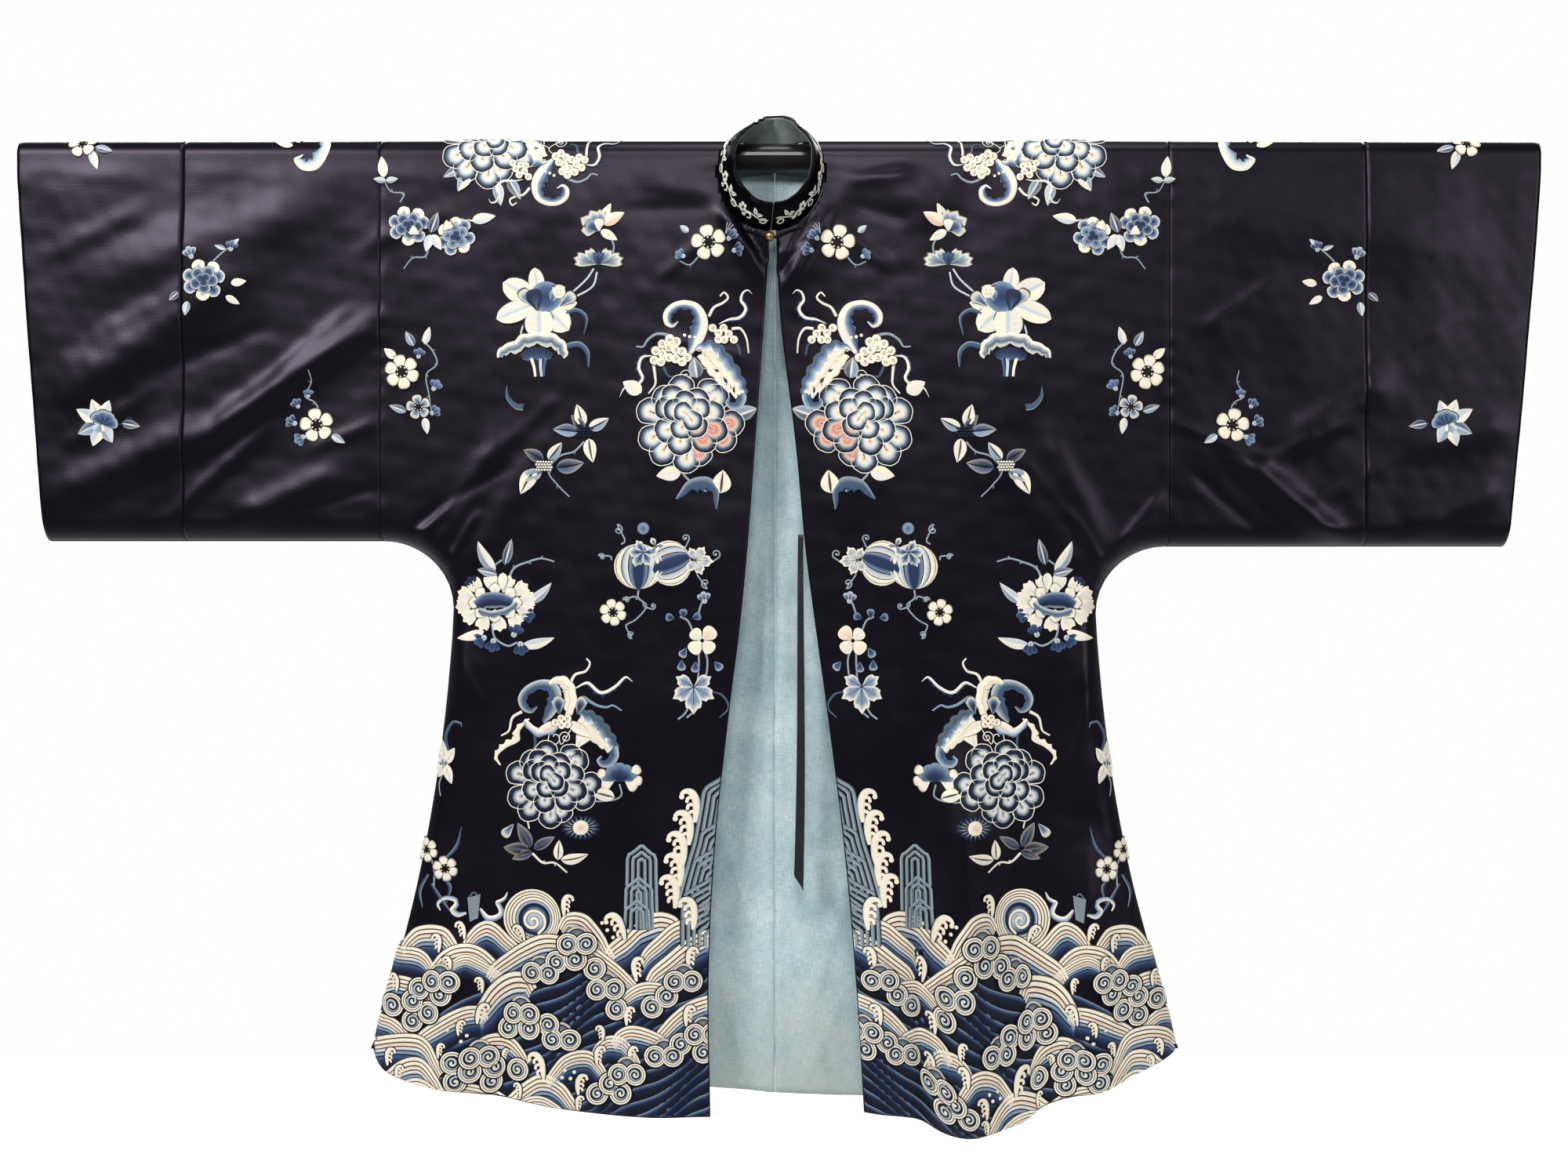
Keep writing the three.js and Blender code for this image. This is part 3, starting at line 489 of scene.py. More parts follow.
relief = add_node(nodes, "ShaderNodeBump", Strength=0.3, Distance=0.0004)
for way, texture in ((cross_way, crosswise), (down_way, downwise)):
    links.new(where.outputs["UV"], way.inputs["Vector"])
    links.new(way.outputs["Vector"], texture.inputs["Vector"])
wire(links, [
    (where, "UV", mottle, "Vector"), (crosswise, "Fac", threads, 0), (downwise, "Fac", threads, 1),
    (mottle, "Fac", blue, "Fac"), (threads, "Value", thread_tone, "Value"),
    (blue, "Color", toned, "Vector"), (thread_tone, "Result", toned, "Scale"),
    (place_in_frame, "Object", split, "Vector"), (split, "Z", hem_zone, "Value"),
    (hem_zone, "Result", stain_edge, 0), (mottle, "Fac", stain_edge, 1),
    (stain_edge, "Value", stained, "Factor"), (toned, "Vector", stained, "A"),
    (stained, "Result", surface, "Base Color"), (threads, "Value", relief, "Height"),
    (relief, "Normal", surface, "Normal"),
])


def body_panel(name, side, face, hem, edge, columns, rows):
    """A body panel's cloth, with the neck cut out and its outer edge turned to meet the other layer."""
    x, down = panel_places(side, face, hem, edge, rows, columns)
    x, down, kept = round_neck(face, x, down)
    on_outline = np.abs(cloth(face, x[:, -1], down[:, -1])[:, 1]) < 1

    def turned(normal):
        tangent = np.gradient(np.stack([x[:, -1], -down[:, -1]], -1), axis=0)
        facing = np.stack([-tangent[:, 1] * side, np.zeros(len(x)), tangent[:, 0] * side], -1)
        facing /= np.linalg.norm(facing, axis=-1, keepdims=True)
        normal[:, -1] = np.where(on_outline[:, None], facing, normal[:, -1])
        normal[0] = (0, 0, 1)
        return normal

    return cloth_wall(name, face, x, down, (0, SATIN), [satin, cotton], turned, kept)


for side, word in ((RIGHT, "right"), (LEFT, "left")):
    front = body_panel(f"front_{word}_cloth", side, "front", FRONT_HEM[side], FRONT_EDGE[side], 130, 250)
    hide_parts(f"front_{word}")

# The back: two lengths of the same satin, joined down the centre, whose tops meet the fronts over the pole.
# Its folds don't show in the photograph, and are made like those of the front, but softer.
BACK_HEM = {
    RIGHT: [(0, 1057), (80, 1050), (250, 1054), (380, 1036), (451, 1000)],
    LEFT: [(0, 1057), (110, 1060), (250, 1054), (380, 1036), (451, 1000)],
}
BACK_FOLDS = [
    (-378, 452, -280, 300, 20, 6), (378, 452, 280, 300, 20, 6), (-330, 540, -350, 1050, 34, 9),
    (330, 540, 352, 1050, 34, 9), (-170, 520, -190, 1080, 40, 8), (150, 600, 176, 1080, 38, 9),
    (-700, 340, -470, 150, 26, 6), (700, 350, 480, 170, 26, 6), (-800, 180, -560, 80, 34, 5),
    (800, 200, 580, 90, 34, 5),
]
BACK_CREASES = [
    (-690, 410, -560, 300, 9, 2.0), (-560, 250, -470, 170, 8, 1.8), (690, 400, 560, 310, 9, 2.0),
    (-800, 330, -690, 262, 9, 1.6), (790, 330, 690, 250, 9, 1.6), (-400, 430, -350, 380, 6, 2.0),
    (400, 430, 350, 380, 6, 2.0), (-330, 350, -240, 270, 9, 1.4), (330, 340, 236, 262, 9, 1.4),
    (-90, 60, -150, 160, 9, 1.4), (84, 60, 150, 170, 9, 1.4), (-100, 640, -110, 900, 12, 1.6),
    (90, 700, 98, 960, 12, 1.6), (-260, 700, -268, 980, 10, 1.6), (246, 760, 256, 1000, 10, 1.6),
    (-400, 860, -410, 1010, 9, 1.8), (396, 860, 408, 1010, 9, 1.8),
]
FACES["back"] = {"back": 1, "flare": 5, "folds": BACK_FOLDS, "creases": BACK_CREASES, "seed": 9}
for side, word in ((RIGHT, "right"), (LEFT, "left")):
    back = body_panel(f"back_{word}_cloth", side, "back", BACK_HEM[side], None, 84, 190)
    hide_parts(f"back_{word}")

# The sleeves: each is lengthened twice, with a straight piece at the arm seam and a cuff piece beyond it.
# Each piece goes all round the pole, and is sewn shut along the bottom. The cuff's end slants in as it goes
# down.


def sleeve_piece(name, side, start, end, steps, rings):
    """A flattened tube between two places along the arm: its places run down the front and up the back."""
    share = np.concatenate([np.linspace(0, 1, 12)[:-1] * ARC, ARC + SLEEVE_DROP[side] * (
        1 - (1 - np.linspace(0, 1, steps)) ** 1.25)])
    way = np.linspace(0, 1, rings)[:, None]
    layers = []
    for face in ("front", "back"):
        down = np.broadcast_to(share[None, :], (rings, len(share)))
        slant = CUFF_SLANT[side] * (np.maximum(down - ARC, 0) / SLEEVE_DROP[side]) ** 1.2
        stop = end if end else REACH[side] - slant
        x = side * (start + (stop - start) * way)
        x = np.broadcast_to(x, down.shape)
        point = cloth(face, x, down)
        normal = cloth_normal(face, x, down)
        normal[:, 0], normal[:, -1] = (0, 0, 1), (0, 0, -1)
        point[:, 0, 1] = point[:, -1, 1] = 0
        cut = np.stack([x, down * -FACES[face]["back"]], -1)
        layers.append((point, normal, cut))
    front, back = layers
    point, normal, cut = (np.concatenate([a, b[:, -2:0:-1]], 1) for a, b in zip(front, back))
    return wall(name, point, point - normal * SATIN, cut, [satin, cotton], ring=True)


for side, word in ((RIGHT, "right"), (LEFT, "left")):
    arm = sleeve_piece(f"sleeve_{word}_cloth", side, ARM_SEAM + SEAM / 2, CUFF_SEAM - SEAM / 2, 110, 56)
    cuff = sleeve_piece(f"cuff_{word}_cloth", side, CUFF_SEAM + SEAM / 2, None, 100, 46)
    for piece, node, wide in ((arm, f"sleeve_{word}", 0.22), (cuff, f"cuff_{word}", 0.19)):
        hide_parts(node)

# The back's lining: two lengths of pale blue cotton with a seam down the centre, sewn in behind the satin.
# It shows through the open front, pinched along the seam, creased where it was folded and stained at the
# hem.
LINING_FOLDS = [
    (0, 400, -2, 600, 4, -3.0), (-9, 390, -12, 620, 7, 3.2), (10, 400, 12, 610, 7, 2.6),
    (-30, 330, -18, 480, 10, 2.4), (30, 350, 18, 500, 10, 2.0), (-22, 600, -30, 760, 8, 1.8),
    (24, 600, 34, 740, 9, 1.8), (-80, 566, 90, 574, 3, -1.3), (-80, 571, 90, 580, 4, 1.2),
    (-90, 787, 110, 792, 3, -1.2), (-90, 830, 110, 838, 3, -1.4), (-90, 836, 110, 842, 4, 1.2),
    (-90, 884, 110, 890, 3, -1.2), (-60, 760, -20, 880, 7, 2.2), (20, 740, 84, 900, 9, 2.6),
    (90, 800, 40, 960, 7, 2.0), (-66, 900, -30, 1040, 8, 2.2), (10, 900, 60, 1050, 9, 2.4),
    (80, 940, 30, 1050, 6, 1.8), (-10, 860, -16, 1040, 6, 2.0),
]


def lining_panel(name, side):
    """The lining's two faces, below the satin and a thin gap, with its folds standing in from the
    back."""
    x, down = panel_places(side, "back", BACK_HEM[side], None, 190, 120, last=0.8)
    keep = np.argmax(down[:, 0] > ARC + 12)
    x, down = x[keep:], down[keep:]
    drop = down - ARC
    outer = cloth("back", x, down)
    normal = cloth_normal("back", x, down)
    fold = folded(LINING_FOLDS, x, drop) + handled(x, drop, 21, 0.7, 60) + handled(x, drop, 22, 0.25, 22)
    seam = 1.2 * np.exp(-(((np.abs(x) - 6) / 3.5) ** 2))
    stand = SATIN + SEAM + np.maximum(fold + seam + 1.2, 0)[..., None] * smooth(0, 20, drop)[..., None]
    cut = np.stack([x, down], -1)
    return wall(name, outer - normal * (stand + COTTON), outer - normal * (SATIN + SEAM), cut,
                [cotton, cotton])


for side, word in ((RIGHT, "right"), (LEFT, "left")):
    lining = lining_panel(f"lining_{word}_cloth", side)
    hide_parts(f"lining_{word}")

# The collar: a straight band of stiffened satin, lined with cotton, sewn round the neck hole and standing
# forward. It is open at the throat, where its two ends meet over the button. Its rim is crumpled behind and
# bound in black.
COLLAR = {"height": 35.0, "x": -1.0, "z": -9.0, "across": 45.0, "tall": 55.0, "gap": 1.2, "bow": 2.5,
          "clear": 0.6}
COLLAR_LIFT = 4.6


def neck_place(angle):
    """A place on the neck hole's edge: its bottom at angle 0, and its top, behind, at half a turn."""
    across, tall = NECK["across"] - COLLAR["clear"], NECK["tall"] - COLLAR["clear"]
    return NECK["x"] + across * np.sin(angle), NECK["down"] + tall * np.cos(angle)


def collar_line(angle):
    """The collar's foot and rim at each angle, and the unit vector of the way that it stands."""
    x, down = neck_place(angle)
    foot = np.where((down < 0)[..., None], cloth("back", x, np.abs(down)), cloth("front", x, np.abs(down)))
    pinched = 6 * np.exp(-(((angle - 3.62) / 0.26) ** 2))
    drawn_in = 8 * np.exp(-(((np.abs(angle - np.pi) - 0.78) / 0.34) ** 2))
    rim_x = COLLAR["x"] + (COLLAR["across"] - pinched - drawn_in) * np.sin(angle)
    rim_z = COLLAR["z"] - (COLLAR["tall"] - 0.4 * pinched) * np.cos(angle)
    flat = (rim_x - foot[..., 0]) ** 2 + (rim_z - foot[..., 2]) ** 2
    rim = np.stack([rim_x, foot[..., 1] - np.sqrt(np.maximum(COLLAR["height"] ** 2 - flat, 16)), rim_z], -1)
    stand = (rim - foot) / np.linalg.norm(rim - foot, axis=-1, keepdims=True)
    behind = smooth(np.pi * 0.5, np.pi * 0.74, np.minimum(angle, 2 * np.pi - angle))
    return foot + stand * COLLAR_LIFT * behind[..., None], rim, stand


def collar_inward(angle):
    """The direction towards the neck, square to the collar's stand and to its run round the neck."""
    run = collar_line(angle + 0.02)[0] - collar_line(angle - 0.02)[0]
    foot, _, stand = collar_line(angle)
    inward = np.cross(run, stand)
    inward /= np.linalg.norm(inward, axis=-1, keepdims=True)
    middle = np.array([NECK["x"], 0, -20])
    target = np.stack([np.full(np.shape(angle), middle[0]), foot[..., 1],
                       np.full(np.shape(angle), middle[2])], -1)
    sign = np.sign(((target - foot) * inward).sum(-1))
    return inward * np.where(sign == 0, 1, sign)[..., None]


def collar_face(angle, share, below):
    """A place on the collar, by its angle, its share of the height and its depth below the outer face.

    The band bows outward between foot and rim as a parabola, and crumples near the rim behind, as short
    waves.
    """
    foot, rim, _ = collar_line(angle)
    inward = collar_inward(angle)
    bow = -COLLAR["bow"] * 4 * share * (1 - share)
    crumple = 1.3 * share**2 * np.exp(-(((angle - 3.5) / 0.55) ** 2)) * np.sin(angle * 26 + 5 * share)
    soft = 0.4 * share * np.sin(angle * 9 + 1.3) + 0.25 * share * np.sin(angle * 17)
    return foot + (rim - foot) * share[..., None] + inward * (bow + crumple + soft + below)[..., None]


collar_satin = silk("collar_satin", rgb(2, 2, 5), rgb(8, 7, 12), 0.3, Specular_IOR_Level=0.06)
grey_cotton, nodes, links, surface = shader("grey_cotton", Roughness=0.9, Sheen_Weight=0.2)
where = add_node(nodes, "ShaderNodeTexCoord")
mottle = add_node(nodes, "ShaderNodeTexNoise", Scale=90.0, Detail=6.0)
tone = ramp(nodes, rgb(70, 86, 88), rgb(132, 144, 136))
relief = add_node(nodes, "ShaderNodeBump", Strength=0.3, Distance=0.0005)
wire(links, [
    (where, "Object", mottle, "Vector"), (mottle, "Fac", tone, "Fac"), (mottle, "Fac", relief, "Height"),
    (tone, "Color", surface, "Base Color"), (relief, "Normal", surface, "Normal"),
])

half_gap = 0.2 * COLLAR["gap"] / NECK["across"]
angle, share = np.meshgrid(np.linspace(half_gap, 2 * np.pi - half_gap, 220), np.linspace(-0.035, 1, 16),
                           indexing="ij")
cut = np.stack([angle * 62, share * 35], -1)
none = np.zeros_like(angle)
collar = wall("collar_cloth", collar_face(angle, share, none), collar_face(angle, share, none + SATIN), cut,
              [collar_satin, collar_satin])
facing = wall("collar_lining_cloth", collar_face(angle, share, none + SATIN + SEAM + COTTON),
              collar_face(angle, share, none + SATIN + SEAM), cut, [grey_cotton, grey_cotton])
for piece, node, slot_name in ((collar, "collar", "satin"), (facing, "collar_lining", "cotton")):
    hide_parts(node)


def round_cord(name, path, radius, material, sides=10, strands=0):
    """A round cord along a path: a circle square to it at each point, with its strands twisted."""
    path = np.asarray(path, float)
    tangent = np.gradient(path, axis=0)
    tangent /= np.linalg.norm(tangent, axis=-1, keepdims=True)
    side_way = np.cross(tangent, (0, 0, 1))
    side_way /= np.maximum(np.linalg.norm(side_way, axis=-1, keepdims=True), 1e-6)
    up = np.cross(side_way, tangent)
    turn = np.linspace(0, 2 * np.pi, sides, endpoint=False)
    travelled = np.concatenate([[0], np.cumsum(np.linalg.norm(np.diff(path, axis=0), axis=-1))])[:, None]
    swell = radius * (1 + (0.12 * np.cos(strands * turn + travelled * 1.6) if strands else 0 * turn))
    swell = swell * np.ones((len(path), 1))
    ring = path[:, None] + side_way[:, None] * (np.cos(turn) * swell)[..., None]
    ring = ring + up[:, None] * (np.sin(turn) * swell)[..., None]
    index = np.arange(len(path) * sides).reshape(len(path), sides)
    index = np.hstack([index, index[:, :1]])
    quads = np.stack([index[:-1, :-1], index[1:, :-1], index[1:, 1:], index[:-1, 1:]], -1).reshape(-1, 4)
    points = np.vstack([ring.reshape(-1, 3), path[:1], path[-1:]])
    count = len(path) * sides
    ends = [[count, index[0, k + 1], index[0, k], index[0, k]] for k in range(sides)]
    ends += [[count + 1, index[-1, k], index[-1, k + 1], index[-1, k + 1]] for k in range(sides)]
    faces = quads.tolist() + [face[:3] for face in ends]
    mesh = bpy.data.meshes.new(name)
    mesh.from_pydata((points * MM).tolist(), [], faces)
    mesh.materials.append(material)
    mesh.polygons.foreach_set("use_smooth", np.ones(len(mesh.polygons), bool))
    made = bpy.data.objects.new(name, mesh)
    bpy.context.scene.collection.objects.link(made)
    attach(made, "root")
    return made


black_cord = shader("black_silk_cord", Base_Color=rgb(5, 5, 8), Roughness=0.6, Specular_IOR_Level=0.15)[0]
angle = np.linspace(0.02, 2 * np.pi - 0.02, 200)
one = np.ones_like(angle)
rim = collar_face(angle, one, one * SATIN / 2) + collar_line(angle)[2] * 1.6
binding = round_cord("collar_binding_cord", rim, 1.2, black_cord)
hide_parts("collar_binding")

# The fastening: a small ball button of brass colour over the throat, and two black silk cords that hold it.
# Each cord is laid on the satin and stitched down, one to each side of the button.
BUTTON = {"x": -5.0, "drop": 95.0, "radius": 5.6}
FROG = {"radius": 1.3, "reach": 33.0, "rise": 12.0, "clear": 0.35}
seat = cloth("front", np.array([BUTTON["x"]]), np.array([BUTTON["drop"] + ARC]))[0]
centre = np.array([BUTTON["x"], seat[1] - BUTTON["radius"] - FROG["radius"] * 2 - FROG["clear"] * 2,
                   -BUTTON["drop"]])
turn, tilt = np.meshgrid(np.linspace(0, 2 * np.pi, 49)[:-1], np.linspace(0, np.pi, 25), indexing="ij")
grooved = 0.03 * np.abs(np.sin(turn * 5)) * np.sin(tilt)
girdled = 0.02 * (np.abs(np.cos(tilt)) < 0.1)
chased = BUTTON["radius"] * (1 - grooved - girdled)
ball = centre + np.stack([
    chased * np.sin(tilt) * np.cos(turn), chased * np.cos(tilt), chased * np.sin(tilt) * np.sin(turn)], -1)
index = np.arange(48 * 25).reshape(48, 25)
index = np.vstack([index, index[:1]])
quads = np.stack([index[:-1, :-1], index[1:, :-1], index[1:, 1:], index[:-1, 1:]], -1).reshape(-1, 4)
brass, nodes, links, surface = shader("worn_brass", Metallic=0.95, Roughness=0.32)
where = add_node(nodes, "ShaderNodeTexCoord")
tarnish = add_node(nodes, "ShaderNodeTexNoise", Scale=320.0, Detail=4.0)
tone = ramp(nodes, rgb(150, 100, 58), rgb(224, 178, 124), 0.35, 0.65)
wire(links, [
    (where, "Object", tarnish, "Vector"), (tarnish, "Fac", tone, "Fac"),
    (tone, "Color", surface, "Base Color"),
])
button = build_mesh("ball_button", ball.reshape(-1, 3), quads, [brass])
button.data.validate()
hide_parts("button")
for side, word in ((RIGHT, "right"), (LEFT, "left")):
    share = np.linspace(0, 1, 60)
    x = BUTTON["x"] + side * (BUTTON["radius"] * 0.12 + 1.7 + FROG["reach"] * share)
    drop = BUTTON["drop"] + 1 - FROG["rise"] * share**1.4 - 3 * np.sin(share * np.pi)
    path = cloth("front", x, np.maximum(drop, 60) + ARC)
    path[:, 1] -= FROG["radius"] + FROG["clear"]
    path[:, 2] = -drop
    frog = round_cord(f"frog_{word}_cord", path, FROG["radius"], black_cord, 12, 3)
    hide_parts(f"frog_{word}")

# The waist tie: a flat ribbon of black satin, sewn to the left front's edge and cut to a point.
# It hangs free from there, a little wider at its lower end, over the lining.
TIE = {"drop": 424.0, "length": 396.0, "top": 6.0, "low": 11.0, "thick": 1.2, "point": 16.0, "sway": 3.0}
top = cloth("front", curve(FRONT_EDGE[LEFT], np.array([TIE["drop"]])), np.array([TIE["drop"] + ARC]))[0]
share, across = np.meshgrid(np.linspace(0, 1, 160), np.linspace(-1, 0, 7), indexing="ij")
fall = share * TIE["length"]
taper = np.minimum((TIE["length"] - fall) / TIE["point"], 1)
wide = np.maximum((TIE["top"] + (TIE["low"] - TIE["top"]) * share) * taper, 1)
edge = top[0] - SEAM - 0.2 + TIE["sway"] * np.sin(share * np.pi) * share
ripple = 0.5 * np.sin(share * 31 + across * 1.5) * smooth(0, 0.1, share)
y = top[1] + 0.6 - 2 * np.sin(share * 5) + ripple
ribbon = np.stack([edge + across * wide, y, top[2] - fall], -1)
behind = ribbon + np.array([0, TIE["thick"], 0])
black_satin = silk("black_satin", rgb(12, 10, 15), rgb(38, 34, 44), 0.3, Sheen_Weight=0.25)
tie = wall("waist_tie", ribbon, behind, np.stack([across * wide, fall], -1), [black_satin, black_satin])
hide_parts("tie")

# The embroidery's stitches: untwisted silk laid side by side in satin stitch, in creams and blues, and thin
# couched cords along many edges. Every motif is worked in small domed patches, the later ones over the
# earlier ones.
SILK = {
    "cream": (255, 244, 220), "ivory": (240, 234, 220), "pale": (204, 214, 220), "sky": (134, 155, 178),
    "blue": (68, 90, 126), "royal": (36, 51, 86), "navy": (19, 29, 54), "ink": (7, 8, 14),
    "slate": (88, 101, 114), "mist": (152, 166, 173), "teal": (66, 90, 108), "peach": (236, 202, 174),
    "cord": (246, 242, 228), "pink": (222, 138, 126), "line": (60, 46, 46), "night": (10, 16, 32),
}
SILK = {shade: np.array(rgb(*value)[:3]) for shade, value in SILK.items()}
REFERENCE_HEM = FRONT_HEM[RIGHT]
FAR_OUT = 1e4


def shades(stops, at):
    """The colour at each place between a list of (position, shade) stops."""
    at = np.asarray(at, float)
    positions = [stop[0] for stop in stops]
    values = np.array([SILK[stop[1]] for stop in stops])
    return np.stack([np.interp(at, positions, values[:, k]) for k in range(3)], -1)


class Work:
    """The stitched patches of one panel, kept as places in the cloth until they are laid on it together."""

    def __init__(self):
        self.out, self.drop, self.height, self.colour, self.thread, self.quads = [], [], [], [], [], []
        self.count = 0

    def add(self, out, drop, height, colour, thread):
        rows, columns = out.shape
        index = self.count + np.arange(rows * columns).reshape(rows, columns)
        quads = np.stack([index[:-1, :-1], index[:-1, 1:], index[1:, 1:], index[1:, :-1]], -1)
        self.quads.append(quads.reshape(-1, 4))
        self.count += rows * columns
        self.out.append(out.ravel())
        self.drop.append(drop.ravel())
        self.height.append(np.broadcast_to(height, out.shape).ravel())
        self.colour.append(np.broadcast_to(colour, (*out.shape, 3)).reshape(-1, 3))
        self.thread.append(thread.reshape(-1, 2))


class Pen:
    """A motif's own plane, in millimetres: a runs towards the centre line and b up, turned and sized."""

    def __init__(self, work, out, drop, turn=0.0, size=1.0, lift=0.0):
        self.work, self.out, self.drop, self.lift = work, out, drop, lift
        angle = np.radians(turn)
        self.axes = size * np.array([[np.cos(angle), -np.sin(angle)], [np.sin(angle), np.cos(angle)]])

    def at(self, a, b, turn=0.0, size=1.0):
        """The plane of a part of the motif, whose origin is at a, b."""
        across, up = self.axes @ (a, b)
        inner = Pen(self.work, self.out - across, self.drop - up, turn, size, self.lift)
        inner.axes = self.axes @ inner.axes
        return inner

    def lay(self, a, b, height, colour, thread=None):
        """Adds a grid of stitches at a, b. thread is how far each point lies across and along the silk."""
        across = self.axes[0, 0] * a + self.axes[0, 1] * b
        up = self.axes[1, 0] * a + self.axes[1, 1] * b
        thread = np.stack([a, b], -1) if thread is None else thread
        self.work.add(self.out - across, self.drop - up, self.lift + height, colour, thread)


def petal(pen, length, width, stops, lift=0.0, lobes=0, square=4.0, steps=(8, 11)):
    """A fan from the pen's origin: radius times s, with a rounded and lobed rim, coloured by the distance to
    its edge."""
    fine = 1 - (1 - np.linspace(0, 1, steps[0])) ** 1.7
    s, t = np.meshgrid(0.06 + 0.94 * fine, np.sin(np.linspace(-np.pi / 2, np.pi / 2, steps[1])),
                       indexing="ij")
    spread = np.arctan2(width / 2, length * 0.72)
    lobed = 1 + 0.07 * np.cos(lobes * np.pi * t) if lobes else 1
    rim = length * (1 - 0.42 * np.abs(t) ** square) * lobed
    a, b = s * rim * np.sin(spread * t), s * rim * np.cos(spread * t)
    edge = 1 - np.minimum(1 - s, (1 - np.abs(t)) * 0.8)
    height = lift + 0.2 + 0.55 * np.sqrt(np.clip(1 - t**2, 0, 1)) * np.sin(np.pi * np.clip(s, 0, 0.94))
    pen.lay(a, b, height, shades(stops, edge), np.stack([a * 1.6, b], -1))


def lobe(pen, length, width, stops, lift, cord=False):
    """A rounded petal: an oval whose foot is at the pen's origin, waved and notched at its rim.

    Its middle is 0.42 of the length up, and each ring of its grid is the rim drawn in to s of its size.
    """
    rings = [0.05, 0.3, 0.5, 0.66, 0.72, 0.84, 0.88, 0.92, 1]
    s, turn = np.meshgrid(rings, np.linspace(-2.9, 2.9, 19), indexing="ij")
    rim = 1 + 0.05 * np.cos(5 * turn) - 0.09 * np.exp(-((turn / 0.3) ** 2))
    a = s * width / 2 * np.sin(turn) * rim * (0.88 + 0.12 * np.cos(turn))
    b = length * (0.42 + s * 0.58 * np.cos(turn) * rim)
    shade_at = s * (1 - 0.3 * smooth(1.6, 2.6, np.abs(turn)))
    height = lift + 0.2 + 0.6 * np.sqrt(np.clip(1.02 - s**2, 0, 1))
    pen.lay(a, b, height, shades(stops, shade_at), np.stack([a * 1.6, b], -1))
    if cord:
        line(pen, np.stack([a[-1], b[-1]], -1)[2:-2], 1.0, "cord", lift + 0.35, count=24)


def run_through(path, count):
    """Points along a smooth curve through the path's points, and the unit vector of its way at each."""
    path = np.asarray(path, float)
    at = np.linspace(0, len(path) - 1, count)
    steps = np.arange(len(path))
    run = np.stack([curve(list(zip(steps, path[:, k])), at) for k in range(2)], -1)
    way = np.gradient(run, axis=0)
    return run, way / np.maximum(np.linalg.norm(way, axis=-1, keepdims=True), 1e-9)


def line(pen, path, width, shade, lift=0.3, taper=0.0, count=None, rise=0.5):
    """A thread or stem along a smooth curve through its points, round, and thinner at its end by taper."""
    count = count or 5 * len(path)
    run, way = run_through(path, count)
    across = np.stack([-way[:, 1], way[:, 0]], -1)[:, None]
    t = np.array([-1, 0, 1])[None, :]
    wide = (width / 2 * (1 - taper * np.linspace(0, 1, count)))[:, None]
    point = run[:, None] + across * (t * wide)[..., None]
    long = np.linspace(0, count * 1.2, count)[:, None] + 0 * t
    pen.lay(point[..., 0], point[..., 1], lift + rise * (1 - t**2) + 0 * wide, SILK[shade],
            np.stack([long, t * wide], -1))


def disc(pen, a, b, radius, stops, lift=0.4, rise=0.6, sides=12, rings=4):
    """A round domed patch, coloured by its radius."""
    reach = [stop[0] for stop in stops] if rings > len(stops) else np.linspace(0, 1, rings) ** 0.7
    s, turn = np.meshgrid(reach, np.linspace(0, 2 * np.pi, sides + 1), indexing="ij")
    height = lift + rise * np.sqrt(np.maximum(1.02 - s**2, 0.02))
    pen.lay(a + radius * s * np.cos(turn), b + radius * s * np.sin(turn), height, shades(stops, s))


def leaf(pen, length, width, near="pale", far="sky", rib="ivory", bend=0.0, lift=0.3, teeth=0.0, tip="cream",
         full=0.75):
    """A leaf along b: half width times sin(pi s^full), bent sideways as s(1 - s), with a rib and two shades.

    A full above 1 makes it a petal that is broadest beyond its middle and rounds in to a short point.
    """
    columns = [-1, -0.9, -0.84, -0.5, -0.2, -0.06, 0.06, 0.2, 0.5, 0.84, 0.9, 1]
    s, t = np.meshgrid(np.linspace(0, 1, 13), columns, indexing="ij")
    half = width / 2 * np.sin(np.pi * s**full) ** (1.3 - 0.6 * full)
    half = half * (1 + teeth * ((s * 5) % 1 - 0.5) * (np.abs(t) > 0.9))
    a = bend * length * 4 * s * (1 - s) * 0.25 + t * half
    colour = np.where((t < 0)[..., None], SILK[near], SILK[far])
    colour = colour + (SILK[tip] - colour) * (np.abs(t) ** 4 * 0.5 + 0.3 * s**3)[..., None]
    colour = np.where((np.abs(t) < 0.1)[..., None], SILK[rib], colour)
    colour = np.where((np.abs(t) > 0.88)[..., None], SILK["ink"], colour)
    domed = np.sqrt(np.clip(1 - (2 * np.abs(t) - 1) ** 2, 0, 1))
    height = lift + 0.15 + 0.5 * domed * np.sin(np.pi * s) ** 0.5
    pen.lay(a, s * length, height, colour, np.stack([s * length + np.abs(t) * half * 0.7, t * half], -1))


